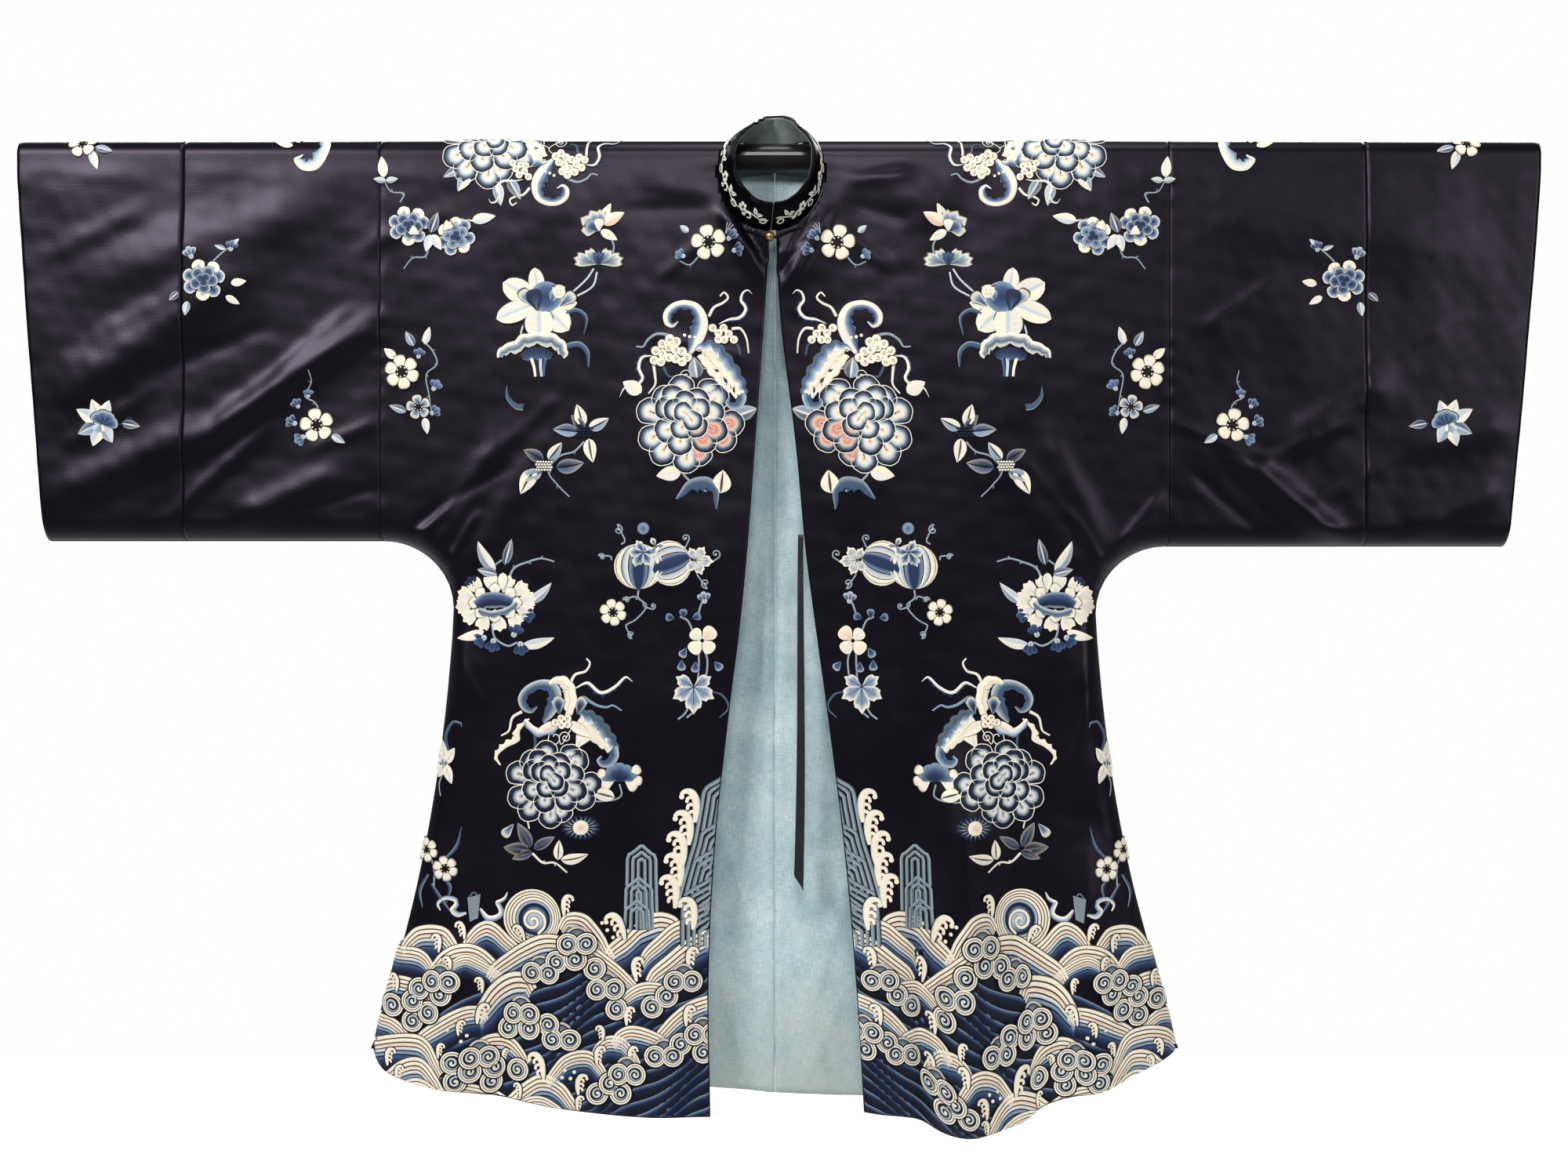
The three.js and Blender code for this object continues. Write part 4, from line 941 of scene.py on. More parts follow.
def band(pen, path, widths, profile, scallops=0, bite=0.3, lift=0.2, count=24, sink=0.0):
    """A broad stroke along a smooth curve. profile rows are (share across, shade, height), scallops bite its
    far edge.

    The points across it go square to the curve at first, and more and more straight down where sink is above
    0.
    """
    run, way = run_through(path, count)
    across = np.stack([way[:, 1], -way[:, 0]], -1)[:, None]
    wide = np.interp(np.linspace(0, 1, count), np.linspace(0, 1, len(widths)), widths)[:, None]
    t = np.array([row[0] for row in profile])[None, :]
    bites = bite * np.abs(np.cos(scallops * np.pi * np.linspace(0, 1, count)))[:, None]
    waved = 1 - bites * t**3 if scallops else 1
    down = sink * np.maximum(t, 0)[..., None] ** 0.7 * np.ones((count, 1, 1))
    across = across * (1 - down) + np.array([0, -1]) * down
    point = run[:, None] + across * (t * wide * waved)[..., None]
    height = lift + np.array([row[2] for row in profile])[None, :] + 0 * wide
    colour = np.broadcast_to(np.array([SILK[row[1]] for row in profile]), (count, len(profile), 3))
    long = np.cumsum(np.r_[0, np.linalg.norm(np.diff(run, axis=0), axis=-1)])[:, None]
    pen.lay(point[..., 0], point[..., 1], height, colour, np.stack([t * wide, long + 0 * t], -1))


def waved(path, count, depth):
    """A smooth curve through the points, drawn again with a row of count shallow waves on its left hand."""
    run, way = run_through(path, 8 * count + 1)
    wave = depth * np.abs(np.sin(np.pi * count * np.linspace(0, 1, len(run))))
    return run + np.stack([-way[:, 1], way[:, 0]], -1) * wave[:, None]


def spiral(turns, radius, start=0.0, hand=1, tail=()):
    """Points on a spiral out from its centre, then on to the tail's points."""
    turn = np.linspace(0, turns * 2 * np.pi, int(turns * 8) + 2)
    far = radius * (0.12 + 0.88 * turn / turn[-1])
    path = np.stack([far * np.cos(start + hand * turn), far * np.sin(start + hand * turn)], -1)
    return np.vstack([path, *[np.array(point)[None] for point in tail]])


def tendril(pen, size, turn, hand):
    """A curl that opens into a stalk: a tapering thread, wound in a spiral of one turn."""
    inner = pen.at(0, 0, turn)
    path = spiral(1.15, size * 0.5, 0.4, hand) + np.array([size * 0.2, size * 1.4])
    stalk = np.array([[0, 0], [size * 0.5, size * 0.25]])
    line(inner, np.vstack([stalk, path[::-1]]), 2.0, "mist", 0.3, taper=0.3, count=34)
    end = path[0]
    disc(inner, end[0], end[1], 1.2, [(0, "mist"), (1, "cream")], 0.4)


PROFILES = {
    "wing": [(0, "ink", 0.0), (0.04, "cord", 0.5), (0.26, "cream", 0.8), (0.4, "ivory", 0.9),
             (0.52, "sky", 0.9), (0.78, "blue", 0.7), (0.9, "royal", 0.5), (0.94, "sky", 0.3),
             (1, "ink", 0.0)],
    "plume": [(0, "ink", 0.0), (0.03, "slate", 0.3), (0.12, "blue", 0.7), (0.24, "sky", 0.8),
              (0.36, "pale", 0.9), (0.42, "cream", 0.95), (0.58, "cream", 0.9), (0.62, "navy", 0.4),
              (0.72, "royal", 0.5), (0.75, "cream", 0.7), (0.92, "cream", 0.5), (0.95, "ink", 0.1),
              (1, "ink", 0.0)],
    "hook": [(0, "ink", 0.0), (0.06, "pale", 0.5), (0.3, "sky", 0.8), (0.6, "teal", 0.8),
             (0.88, "blue", 0.5), (1, "ink", 0.0)],
    "teal_wing": [(0, "ink", 0.0), (0.05, "pale", 0.4), (0.2, "mist", 0.7), (0.5, "teal", 0.9),
                  (0.85, "blue", 0.6), (0.93, "navy", 0.3), (1, "ink", 0.0)],
    "teal_plume": [(0, "ink", 0.0), (0.05, "slate", 0.3), (0.2, "teal", 0.7), (0.42, "sky", 0.8),
                   (0.52, "pale", 0.9), (0.56, "cream", 0.9), (0.92, "cream", 0.5), (0.95, "ink", 0.1),
                   (1, "ink", 0.0)],
    "body": [(0, "ink", 0.0), (0.05, "cream", 0.5), (0.4, "cream", 0.8), (0.5, "peach", 0.8),
             (0.6, "cream", 0.8), (0.94, "ivory", 0.5), (1, "ink", 0.0)],
    "curl": [(0, "cord", 0.1), (0.2, "cream", 0.7), (0.5, "pale", 0.9), (0.8, "sky", 0.6), (1, "teal", 0.1)],
    "deep": [(0, "mist", 0.1), (0.3, "teal", 0.8), (0.7, "blue", 0.8), (1, "navy", 0.1)],
    "streamer": [(0, "cord", 0.2), (0.35, "cord", 0.8), (0.5, "royal", 0.3), (1, "navy", 0.1)],
    "claw": [(0, "ivory", 0.1), (0.3, "cream", 0.8), (0.7, "cream", 0.8), (1, "peach", 0.1)],
    "blade": [(0, "mist", 0.1), (0.3, "teal", 0.6), (0.6, "blue", 0.7), (1, "navy", 0.1)],
}
CREAM_PETAL = [(0, "sky"), (0.25, "pale"), (0.5, "cream"), (0.88, "cream"), (0.92, "ink"), (1, "ink")]
BLUE_PETAL = [(0, "navy"), (0.35, "royal"), (0.66, "blue"), (0.84, "sky"), (0.88, "pale"), (0.92, "ink"),
              (1, "ink")]
SKY_PETAL = [(0, "royal"), (0.4, "blue"), (0.66, "sky"), (0.88, "cream"), (0.92, "ink"), (1, "ink")]
COUCHED_PETAL = [(0, "peach"), (0.3, "cream"), (0.5, "pale"), (0.6, "mist"), (0.7, "slate"), (0.84, "royal"),
                 (0.88, "ink"), (1, "ink")]
DEEP_COUCHED = [(0, "sky"), (0.3, "ivory"), (0.5, "mist"), (0.6, "blue"), (0.66, "navy"), (0.84, "navy"),
                (0.88, "ink"), (1, "ink")]
BLUSH_PETAL = [(0, "peach"), (0.3, "pink"), (0.5, "peach"), (0.62, "mist"), (0.72, "slate"), (0.84, "royal"),
               (0.88, "ink"), (1, "ink")]


def blossom(pen, radius, stops=CREAM_PETAL, count=5):
    """An open flower: its petals in a ring, a dark heart, and a ring of knots round that."""
    lift, knot_ring = 0.4, 0.27 * radius
    wide = radius * 0.78 * 5 / count + radius * 0.24
    for k in range(count):
        petal(pen.at(0, 0, 360 * k / count + 11), radius, wide, stops, lift + 0.1 * (k % 2))
    disc(pen, 0, 0, radius * 0.36, [(0, "ink"), (1, "ink")], lift + 0.7, 0.2)
    for k in range(7):
        turn = 2 * np.pi * k / 7
        disc(pen, knot_ring * np.cos(turn), knot_ring * np.sin(turn), radius * 0.055,
             [(0, "cream"), (1, "peach")], lift + 0.9, 0.3, 6)


def peony(pen, radius, stops=COUCHED_PETAL, blush=False):
    """A full peony: rings of rounded petals edged with couched cord, each ring over the one outside it."""
    rings = ((11, 0.5, 0.54, 0.5, 10), (8, 0.5, 0.52, 0.24, 26), (5, 0.44, 0.48, 0.05, 5),
             (2, 0.36, 0.42, -0.06, 60))
    for ring, (count, reach, wide, base, start) in enumerate(rings):
        for k in range(count):
            turn = start + 360 * k / count + 7 * np.sin(3 * k + ring)
            angle = np.radians(turn + 90)
            away = radius * base * (1 + 0.08 * np.sin(4 * k + ring))
            part = pen.at(away * np.cos(angle), away * 0.84 * np.sin(angle) + 0.05 * radius * ring,
                          turn + 14 * np.sin(5 * k))
            pinkish = blush and ring < 3 and 196 < (turn % 360) < 268
            lobe(part, radius * reach * (1 + 0.1 * np.sin(5 * k + ring)), radius * wide,
                 BLUSH_PETAL if pinkish else stops, 0.35 + 0.4 * ring + 0.1 * (k % 2), cord=True)


def rose(pen, radius, heart="blue"):
    """A full rose: three rings of rounded petals, pale at their rims, that close over a dark middle."""
    outer = [(0, "royal"), (0.3, "blue"), (0.6, "sky"), (0.76, "pale"), (0.86, "cream"), (0.9, "ink"),
             (1, "ink")]
    inner = [(0, "navy"), (0.5, heart), (0.76, "sky"), (0.86, "ivory"), (0.9, "ink"), (1, "ink")]
    rings = ((7, 0.42, 0.6, 0.72), (5, 0.14, 0.56, 0.66), (3, -0.04, 0.4, 0.5))
    for ring, (count, base, reach, wide) in enumerate(rings):
        for k in range(count):
            turn = 360 * k / count + 20 + 24 * ring + 8 * np.sin(3 * k)
            angle = np.radians(turn + 90)
            stops = (CREAM_PETAL if k % 3 == 0 else outer, inner, BLUE_PETAL)[ring]
            lobe(pen.at(radius * base * np.cos(angle), radius * base * 0.9 * np.sin(angle), turn),
                 radius * reach, radius * wide, stops, 0.3 + 0.4 * ring + 0.09 * (k % 2))


def bud(pen, radius, shade="royal", rim="sky"):
    """A closed bud of three folded petals on a small cup."""
    petal(pen.at(-radius * 0.3, 0, 22), radius * 1.2, radius * 0.9, [(0, "navy"), (0.6, shade), (1, rim)],
          0.3)
    petal(pen.at(radius * 0.3, 0, -22), radius * 1.2, radius * 0.9, [(0, "navy"), (0.6, shade), (1, rim)],
          0.4)
    petal(pen, radius * 1.45, radius * 0.9, [(0, "navy"), (0.5, shade), (1, rim)], 0.6)
    disc(pen, 0, 0, radius * 0.36, [(0, "mist"), (1, "pale")], 0.7)


def set_out(pen, rows):
    """Parts of a motif, in the order laid: rows give the part's maker, its place and turn, then its sizes
    and shades."""
    for maker, a, b, turn, *rest in rows:
        maker(pen.at(a, b, turn), *rest)


def twig(pen, path, width=2.2, shade="mist"):
    """A knobbed stem: a tapering thread with a short spur on either side."""
    line(pen, path, width, shade, 0.25, taper=0.35)
    path = np.asarray(path, float)
    for k in range(1, len(path) - 1):
        way = path[k + 1] - path[k - 1]
        off = np.array([-way[1], way[0]]) / np.hypot(*way) * 3.2 * (1 if k % 2 else -1)
        line(pen, [path[k], path[k] + off * 0.6, path[k] + off + way * 0.06], width * 0.6, shade, 0.3,
             taper=0.5)


def plum(pen):
    """A plum blossom with two leaves."""
    leaf(pen.at(10, -8, -160), 22, 11, "ivory", "pale")
    leaf(pen.at(14, -4, -105), 20, 10, "sky", "blue")
    line(pen, [(0, 0), (9, -9), (14, -16)], 1.8, "mist")
    blossom(pen, 16)


def rose_sprig(pen):
    """A rose, its bud on a bent stem above, and leaves below."""
    line(pen, [(0, 8), (12, 22), (24, 33), (30, 36)], 1.8, "mist")
    set_out(pen, [
        (bud, 30, 34, -12, 7), (leaf, 24, 34, 70, 13, 6), (leaf, 30, 38, -50, 12, 6, "pale", "pale"),
        (bud, -14, 26, 20, 8, "blue", "pale"), (leaf, -28, -14, 130, 14, 10, "royal", "blue"),
        (leaf, -18, -24, 170, 16, 10, "sky", "pale"), (leaf, 30, -4, -80, 17, 10, "cream", "ivory"),
        (leaf, 24, -18, -120, 17, 9, "cream", "ivory"),
    ])
    rose(pen, 25)


def double_rose(pen):
    """Two roses side by side on one stem, with leaves between them."""
    twig(pen, [(-34, 34), (-30, 44), (-44, 46), (-52, 58)], 1.8)
    set_out(pen, [
        (leaf, -52, 62, 8, 24, 13, "cream", "ivory"), (leaf, -50, 58, 80, 14, 8, "sky", "pale"),
        (leaf, -50, 58, -80, 14, 8, "pale", "mist"),
    ])
    line(pen, [(28, 16), (44, 14), (52, 12)], 1.8, "ivory")
    leaf(pen.at(46, 14, -80), 27, 14, "cream", "pale")
    twig(pen, [(0, -10), (-6, -26), (-20, -28), (-30, -40)], 2.0)
    rose(pen.at(-24, 8), 24)
    rose(pen.at(28, -4, 40), 23, "sky")
    leaf(pen.at(0, 0, -20), 24, 13, "royal", "blue", lift=1.3)
    leaf(pen.at(0, -2, 165), 20, 12, "ivory", "pale", lift=1.3)
    leaf(pen.at(2, -2, -150), 20, 12, "ivory", "pale", lift=1.3)
    petal(pen.at(-12, -2, 60), 14, 15, CREAM_PETAL, 1.5, lobes=3)
    petal(pen.at(14, 2, -40), 14, 15, CREAM_PETAL, 1.5, lobes=3)


def plum_branch(pen):
    """A plum branch: two open flowers, one half hidden, with buds and leaves on a knobbed stem."""
    twig(pen, [(20, 34), (34, 20), (40, 2), (26, -12), (30, -40), (34, -66)], 2.2)
    set_out(pen, [
        (leaf, 10, 26, 30, 22, 13, "sky", "blue"), (leaf, 24, 28, -16, 24, 12, "ivory", "pale"),
        (leaf, -14, 10, 50, 20, 13, "cream", "ivory"),
    ])
    blossom(pen.at(-6, -8), 24, count=6)
    bud(pen.at(16, 12, -10), 8)
    blossom(pen.at(16, -54), 17, SKY_PETAL)
    set_out(pen, [
        (bud, 36, -30, -30, 9, "blue"), (leaf, 0, -60, 70, 24, 12, "sky", "blue"),
        (leaf, 24, -68, 190, 22, 12, "ivory", "pale"), (bud, 34, -62, -60, 8),
    ])


def magnolia(pen):
    """A magnolia: pointed cream petals round a blue cup, with a twig."""
    line(pen, [(0, 0), (18, -2), (30, 6), (38, -4)], 1.6, "royal", taper=0.4)
    for turn, long, near, far in ((60, 30, "cream", "pale"), (20, 27, "ivory", "cream"),
                                  (-20, 26, "cream", "pale"), (115, 27, "sky", "blue"),
                                  (160, 26, "cream", "pale"), (-150, 24, "pale", "sky")):
        leaf(pen.at(0, 0, turn), long, 17, near, far, "pale", lift=0.3)
    for turn in (40, 0, -40, -80):
        petal(pen.at(2, -2, turn), 17, 15, BLUE_PETAL, 0.8)
    leaf(pen.at(22, 0, -100), 20, 11, "royal", "blue")


def plum_sprig(pen):
    """A single plum blossom below a thin twig with buds."""
    twig(pen, [(6, 8), (-2, 26), (-14, 34), (-6, 50), (-8, 64)], 1.8)
    set_out(pen, [
        (bud, -22, 22, 30, 7), (bud, -10, 34, 0, 6, "blue"), (bud, -26, 2, 60, 8),
        (leaf, 18, -12, -120, 18, 10, "sky", "pale"), (bud, -16, -14, 120, 8, "blue"),
    ])
    blossom(pen, 21)


def lotus(pen):
    """A lotus: pointed cream petals, a blue cup in front and a pod behind, on bending stems."""
    for path in ([(36, 6), (56, 24), (66, 38)], [(40, 2), (64, 16), (70, 34)],
                 [(-16, -22), (-22, -40), (-18, -54)]):
        line(pen, path, 2.2, "pale")
    for k, (turn, long, wide) in enumerate(((8, 42, 22), (-92, 46, 24), (62, 50, 33), (-134, 50, 35),
                                            (112, 56, 29), (180, 46, 40), (-60, 36, 20))):
        leaf(pen.at(0, -2, turn), long, wide, "cream", "ivory", "pale", lift=0.3 + 0.05 * k, tip="cream",
             full=1.25)
    disc(pen, 8, 4, 19, [(0, "royal"), (0.6, "blue"), (1, "sky")], 0.9, 0.9, 18)
    for a, turn in ((-8, 35), (14, -10), (24, -50)):
        petal(pen.at(a, -8, turn), 26, 18, SKY_PETAL, 1.1)
    petal(pen.at(-2, -14, 12), 28, 26, [(0, "pale"), (0.3, "blue"), (0.75, "navy"), (1, "royal")], 1.6)
    disc(pen, 24, 10, 8, [(0, "cream"), (1, "ivory")], 1.7, 0.5)
    for a, b in ((22, 12), (26, 12), (24, 7), (27, 8), (21, 8)):
        disc(pen, a, b, 1.1, [(0, "peach"), (1, "peach")], 2.4, 0.3, 6)


def lotus_bud(pen):
    """An opening lotus bud: blue petals that lean over, between cream sepals, on its stem."""
    line(pen, [(14, -8), (22, -24), (20, -40)], 2.2, "mist")
    set_out(pen, [
        (leaf, 8, 2, -62, 31, 17, "cream", "peach"), (leaf, 6, 4, -28, 27, 13, "ivory", "cream"),
        (leaf, 6, -6, -120, 24, 13, "cream", "ivory"),
    ])
    for turn, long in ((96, 24), (62, 28), (30, 26), (2, 24)):
        petal(pen.at(6, -4, turn), long, 20, SKY_PETAL, 0.5 + 0.003 * turn, 2)
    petal(pen.at(4, -8, 52), 20, 20, BLUE_PETAL, 1.0)
    petal(pen.at(4, -8, 0), 17, 16, [(0, "pale"), (0.6, "ivory"), (0.94, "cream"), (1, "ink")], 1.2)


def lotus_leaf(pen):
    """A lotus leaf seen from the side: two waved pale wings over a dark fold."""
    wide, high = 26.0, 15.0
    edge = [(0, "slate"), (0.3, "teal"), (0.7, "mist"), (0.88, "ivory"), (0.95, "cream"), (0.97, "ink"),
            (1, "ink")]
    for turn in (76, 44, -44, -76):
        long = wide * (1.06 if abs(turn) > 60 else 0.8)
        petal(pen.at(0, -3, turn), long, high * 1.25, edge, 0.4 + 0.002 * abs(turn), 3)
    petal(pen.at(0, -6, 0), 17, 17, [(0, "navy"), (0.6, "royal"), (0.9, "blue"), (1, "ink")], 0.9, 3)


def umbrella_leaf(pen):
    """A lotus leaf held like an umbrella: a waved pale arch, dark folds beneath it, on curved stalks."""
    for a, low, shade in ((-6, -2, "cream"), (-1, 1, "navy"), (3, 4, "pale"), (8, 6, "blue")):
        line(pen, [(a, -3), (a * 0.7 + 1, -12), (low, -21)], 3.2, shade, 0.3, taper=0.3)
    band(pen, [(-17, 1), (-6, 7), (6, 7), (16, 1)], [10, 15, 15, 9],
         [(0, "navy", 0.2), (0.4, "royal", 0.7), (0.8, "blue", 0.6), (0.9, "sky", 0.5),
          (1, "ink", 0.1)], 5, 0.3, 0.5)
    arch = [(0, "ink", 0.0), (0.04, "cream", 0.3), (0.2, "ivory", 0.8), (0.36, "mist", 0.9),
            (0.6, "slate", 0.9), (0.78, "pale", 0.8), (0.94, "cream", 0.5), (0.97, "ink", 0.1),
            (1, "ink", 0.0)]
    path = waved([(-39, -3), (-35, 7), (-24, 12), (-14, 19), (0, 21), (14, 20), (24, 14), (29, 4),
                  (26, -4)], 7, 1.6)
    band(pen, path, [7, 12, 14, 14, 15, 15, 14, 12, 7], arch, 6, 0.22, 0.9, 44)
    band(pen, [(24, 10), (40, 13), (50, 4), (50, -12)], [6, 6, 5, 1.5], PROFILES["deep"], lift=0.2)
    band(pen, [(-30, -30), (-30, -42), (-22, -52), (-14, -54)][::-1], [7, 6, 4, 1], PROFILES["deep"],
         lift=0.2)


def blades(pen):
    """Two curved blades of water grass."""
    band(pen, [(0, 0), (16, 4), (28, -6), (24, -26)], [5, 5, 4, 1], PROFILES["deep"], lift=0.2)


def neck_blossom(pen):
    """A plum blossom and a bud with fine stamens, at the side of the neck."""
    twig(pen, [(-10, -14), (-22, -26), (-34, -22)], 2.0)
    set_out(pen, [
        (leaf, -24, 12, 50, 13, 9, "sky", "pale"), (bud, -30, -16, 60, 7, "blue"),
        (bud, 24, 4, -40, 8, "royal"), (bud, 30, -10, -80, 8, "royal"),
    ])
    for turn in (-10, -28, -46):
        line(pen, [(20, 10), (20 - 12 * np.sin(np.radians(turn)), 10 + 12 * np.cos(np.radians(turn)))], 0.8,
             "pale", 0.3)
    blossom(pen, 22)


def hooked_wing(pen):
    """A cream hook of a wing with a scalloped blue inner edge, and a leaf."""
    band(pen, [(24, 20), (26, 2), (14, -20), (-4, -22), (-14, -10), (-4, -4)], [13, 16, 18, 15, 10, 3],
         PROFILES["curl"], 5, 0.35, 0.4)
    leaf(pen.at(-16, 6, 70), 22, 11, "cream", "ivory")
    leaf(pen.at(-10, 12, 20), 18, 10, "ivory", "cream")


def knots(pen, places, size, lift=1.0):
    """A cluster of round cream knots, each with a dark outline and a small turned thread on it."""
    stops = [(0, "peach"), (0.35, "cream"), (0.85, "cream"), (0.87, "line"), (1, "line")]
    for k, (a, b) in enumerate(places):
        disc(pen, a, b, size, stops, lift + 0.02 * k, 0.8, 14, 6)
        line(pen.at(a, b), spiral(0.8, size * 0.45, a), 0.7, "line", lift + 0.02 * k + 0.78, rise=0.2)


def butterfly(pen):
    """A great butterfly: a wing curled like a comma, a long waved one, knots, streamers and feelers."""
    upper = [(-18, 42), (-26, 34), (-37, 39), (-39, 54), (-28, 67), (-10, 72), (9, 67), (20, 52), (22, 34),
             (14, 14), (-2, -4)]
    band(pen, upper, [3, 8, 13, 15, 14, 14, 17, 22, 26, 25, 8], PROFILES["wing"], 9, 0.2, 0.5, 54)
    for a, b in ((-10, 24), (-3, 22), (4, 21)):
        disc(pen, a, b, 2.3, [(0, "cream"), (1, "cream")], 1.3, 0.3, 8)
    lower = [(2, 6), (20, 15), (38, 10), (52, -6), (64, -24), (72, -44), (73, -58)]
    band(pen, waved(lower, 7, 3.4), [10, 30, 42, 44, 40, 28, 13], PROFILES["plume"], 7, 0.12, 0.4, 72)
    hook = [(73, -50), (74, -64), (66, -76), (53, -77), (45, -68), (50, -60)]
    band(pen, hook, [14, 14, 12, 11, 8, 3], PROFILES["hook"], lift=0.5, count=30)
    knots(pen, [(-30, 19), (-21, 15), (-40, 12), (-31, 8), (-22, 4), (-13, 2), (-49, 3), (-40, -1),
                (-31, -6), (-22, -8), (-51, -10), (-42, -12), (-6, -6), (-13, -12)], 7.2)
    knots(pen, [(28, 34), (36, 27), (43, 34), (50, 26), (44, 18), (57, 18), (36, 18)], 6.4, 1.1)
    for path, shade in (
        ([(23, 50), (30, 62), (42, 68), (49, 75), (44, 82), (38, 77)], "ivory"),
        ([(54, 33), (66, 33), (74, 20), (77, 0)], "ivory"),
        ([(-52, -16), (-50, -31), (-50, -43), (-59, -55)], "ivory"),
        ([(-29, 24), (-47, 26), (-60, 18), (-66, 9), (-76, 9)], "mist"),
        ([(54, 14), (62, 11), (66, -3)], "teal"), ([(-39, -18), (-32, -31), (-23, -32)], "teal"),
    ):
        line(pen, path, 4.0, shade, 0.35, taper=0.5)
    for path in ([(-52, -4), (-66, -7), (-70, -20), (-65, -34), (-74, -45), (-90, -48), (-98, -60)],
                 [(36, 40), (50, 47), (64, 50), (71, 60), (65, 71), (68, 82), (76, 86), (82, 80)]):
        band(pen, path, [2, 8, 10, 9, 7, 5, 1], PROFILES["streamer"], 13, 0.45, 0.35, 52)
    line(pen, spiral(1.6, 10, 0.5, 1, [(14, 14), (6, 22)]) + np.array([-7, -31]), 1.2, "cord", 0.4)
    line(pen, spiral(1.3, 7, 2.6, -1, [(12, 6), (4, 20), (-14, 28)]) + np.array([21, -45]), 1.2, "cord", 0.4)


def peony_leaves(pen):
    """The leaves and stem below the large peony, and those that look out from behind it."""
    line(pen, [(-12, 8), (-6, -6), (6, -18), (20, -26)], 2.4, "mist")
    leaf(pen.at(-8, -4, 100), 28, 19, "ivory", "cream", teeth=0.5)
    leaf(pen.at(36, -28, -6), 26, 24, "cream", "cream", "line", teeth=0.4)
    band(pen, [(-14, -34), (0, -14), (22, -10), (34, -24), (32, -46)], [4, 18, 22, 12, 3], PROFILES["deep"],
         5, 0.3, 0.5)


def berries(pen, count, shade):
    """A cluster of knots, in rows that lean."""
    for k in range(count):
        a, b = (k % 6) * 3.4 - 8.5 + (k // 6) % 2 * 1.7, (k // 6) * 3.3 - 5
        disc(pen, a, b, 1.75, [(0, shade), (0.7, shade), (1, "ink")], 0.9, 0.9, 8)


def berry_sprig(pen):
    """Two clusters of berries, dark and pale, among pointed leaves on one stem."""
    twig(pen, [(0, -12), (-12, -24), (-30, -30), (-44, -48), (-32, -66), (-18, -80)], 2.4)
    for a, b, turn, long, near, far in (
        (-2, 6, 14, 26, "cream", "ivory"), (6, 4, -62, 25, "ivory", "sky"), (-8, 0, 84, 27, "sky", "blue"),
        (6, -8, -170, 27, "ivory", "cream"), (-50, -36, 60, 25, "navy", "royal"),
        (-44, -34, -38, 24, "ivory", "sky"), (-60, -46, 150, 32, "ivory", "cream"),
        (-34, -44, -80, 31, "royal", "blue"), (-52, -50, 110, 26, "mist", "sky"),
        (0, 2, 40, 22, "navy", "royal"),
    ):
        leaf(pen.at(a, b, turn), long * 1.12, long * 0.68, near, far, "ink", bend=0.12)
    berries(pen, 26, "navy")
    berries(pen.at(-50, -42), 24, "cord")


def melon(pen, radius):
    """A ribbed melon: ribs between meridians, cream outside, and blue ones that show at its split front."""
    lat = np.linspace(-np.pi / 2, np.pi / 2, 13)[:, None]
    edges = np.array([-90, -66, -44, -24, 24, 44, 66, 90])
    ribs = ([(0, "ivory"), (0.5, "cream"), (1, "peach")], [(0, "cream"), (1, "ivory")],
            [(0, "mist"), (0.5, "pale"), (1, "cream")],
            [(0, "sky"), (0.25, "royal"), (0.75, "royal"), (1, "sky")])
    for k, (low, high) in enumerate(zip(edges[:-1], edges[1:])):
        turn = np.radians(np.linspace(low + 1.5, high - 1.5, 5))[None, :]
        a = radius * np.sin(turn) * np.cos(lat)
        b = radius * 0.93 * np.sin(lat) + 0 * a
        across = np.linspace(0, 1, 5)[None, :] + 0 * a
        stops = ribs[min(k, 6 - k)]
        height = 0.5 + 0.6 * np.sin(np.pi * across) ** 0.6 * np.cos(lat) ** 0.3 + 0.25 * np.cos(turn)
        pen.lay(a, b, height, shades(stops, across), np.stack([a, b], -1))


def melon_leaf(pen, radius, deep="blue", rim="ivory", lobes=5):
    """A lobed leaf: a fan of pointed lobes from its stalk, pale at the rim, with a rib down each."""
    for k in range(lobes):
        turn = 120 - 240 * k / (lobes - 1)
        long = radius * (1 - 0.25 * np.abs(turn) / 120)
        petal(pen.at(0, 0, turn), long, long * 0.95,
              [(0, deep), (0.5, deep), (0.72, "sky"), (0.9, rim), (1, rim)], 0.9 + 0.1 * (k % 2), 3,
              square=1.6)
        line(pen.at(0, 0, turn), [(0, 0), (0, long * 0.7)], 0.7, "navy", 1.5)


def melons(pen):
    """Two ripe melons under a leaf, with tendrils and a small flower below on its own stem."""
    for a, b, turn, hand, size in ((-28, 24, 20, 1, 13), (46, 18, -20, -1, 11), (76, 2, -50, -1, 13),
                                   (72, -8, -150, 1, 13), (-40, 4, 80, 1, 9)):
        tendril(pen.at(a, b), size, turn, hand)
    disc(pen, 0, 44, 8, [(0, "blue"), (0.7, "sky"), (1, "slate")], 0.4)
    melon(pen.at(34, 0, -70), 29)
    melon(pen.at(-6, -4), 31)
    melon_leaf(pen.at(0, 14, 150), 22)
    melon_leaf(pen.at(16, 22, 150), 15, "sky", "cream", 3)
    melon_leaf(pen.at(66, 4, -95), 22, "ivory", "cream", 5)
    line(pen, [(-6, -34), (-6, -44), (4, -54), (-8, -70), (-22, -78)], 2.4, "mist", 0.4, taper=0.3)
    tendril(pen.at(0, -50), 9, -100, -1)
    tendril(pen.at(-18, -76), 10, -160, 1)
    tendril(pen.at(-8, -46), 9, 100, 1)
    blossom(pen.at(-38, -62), 18, count=6)


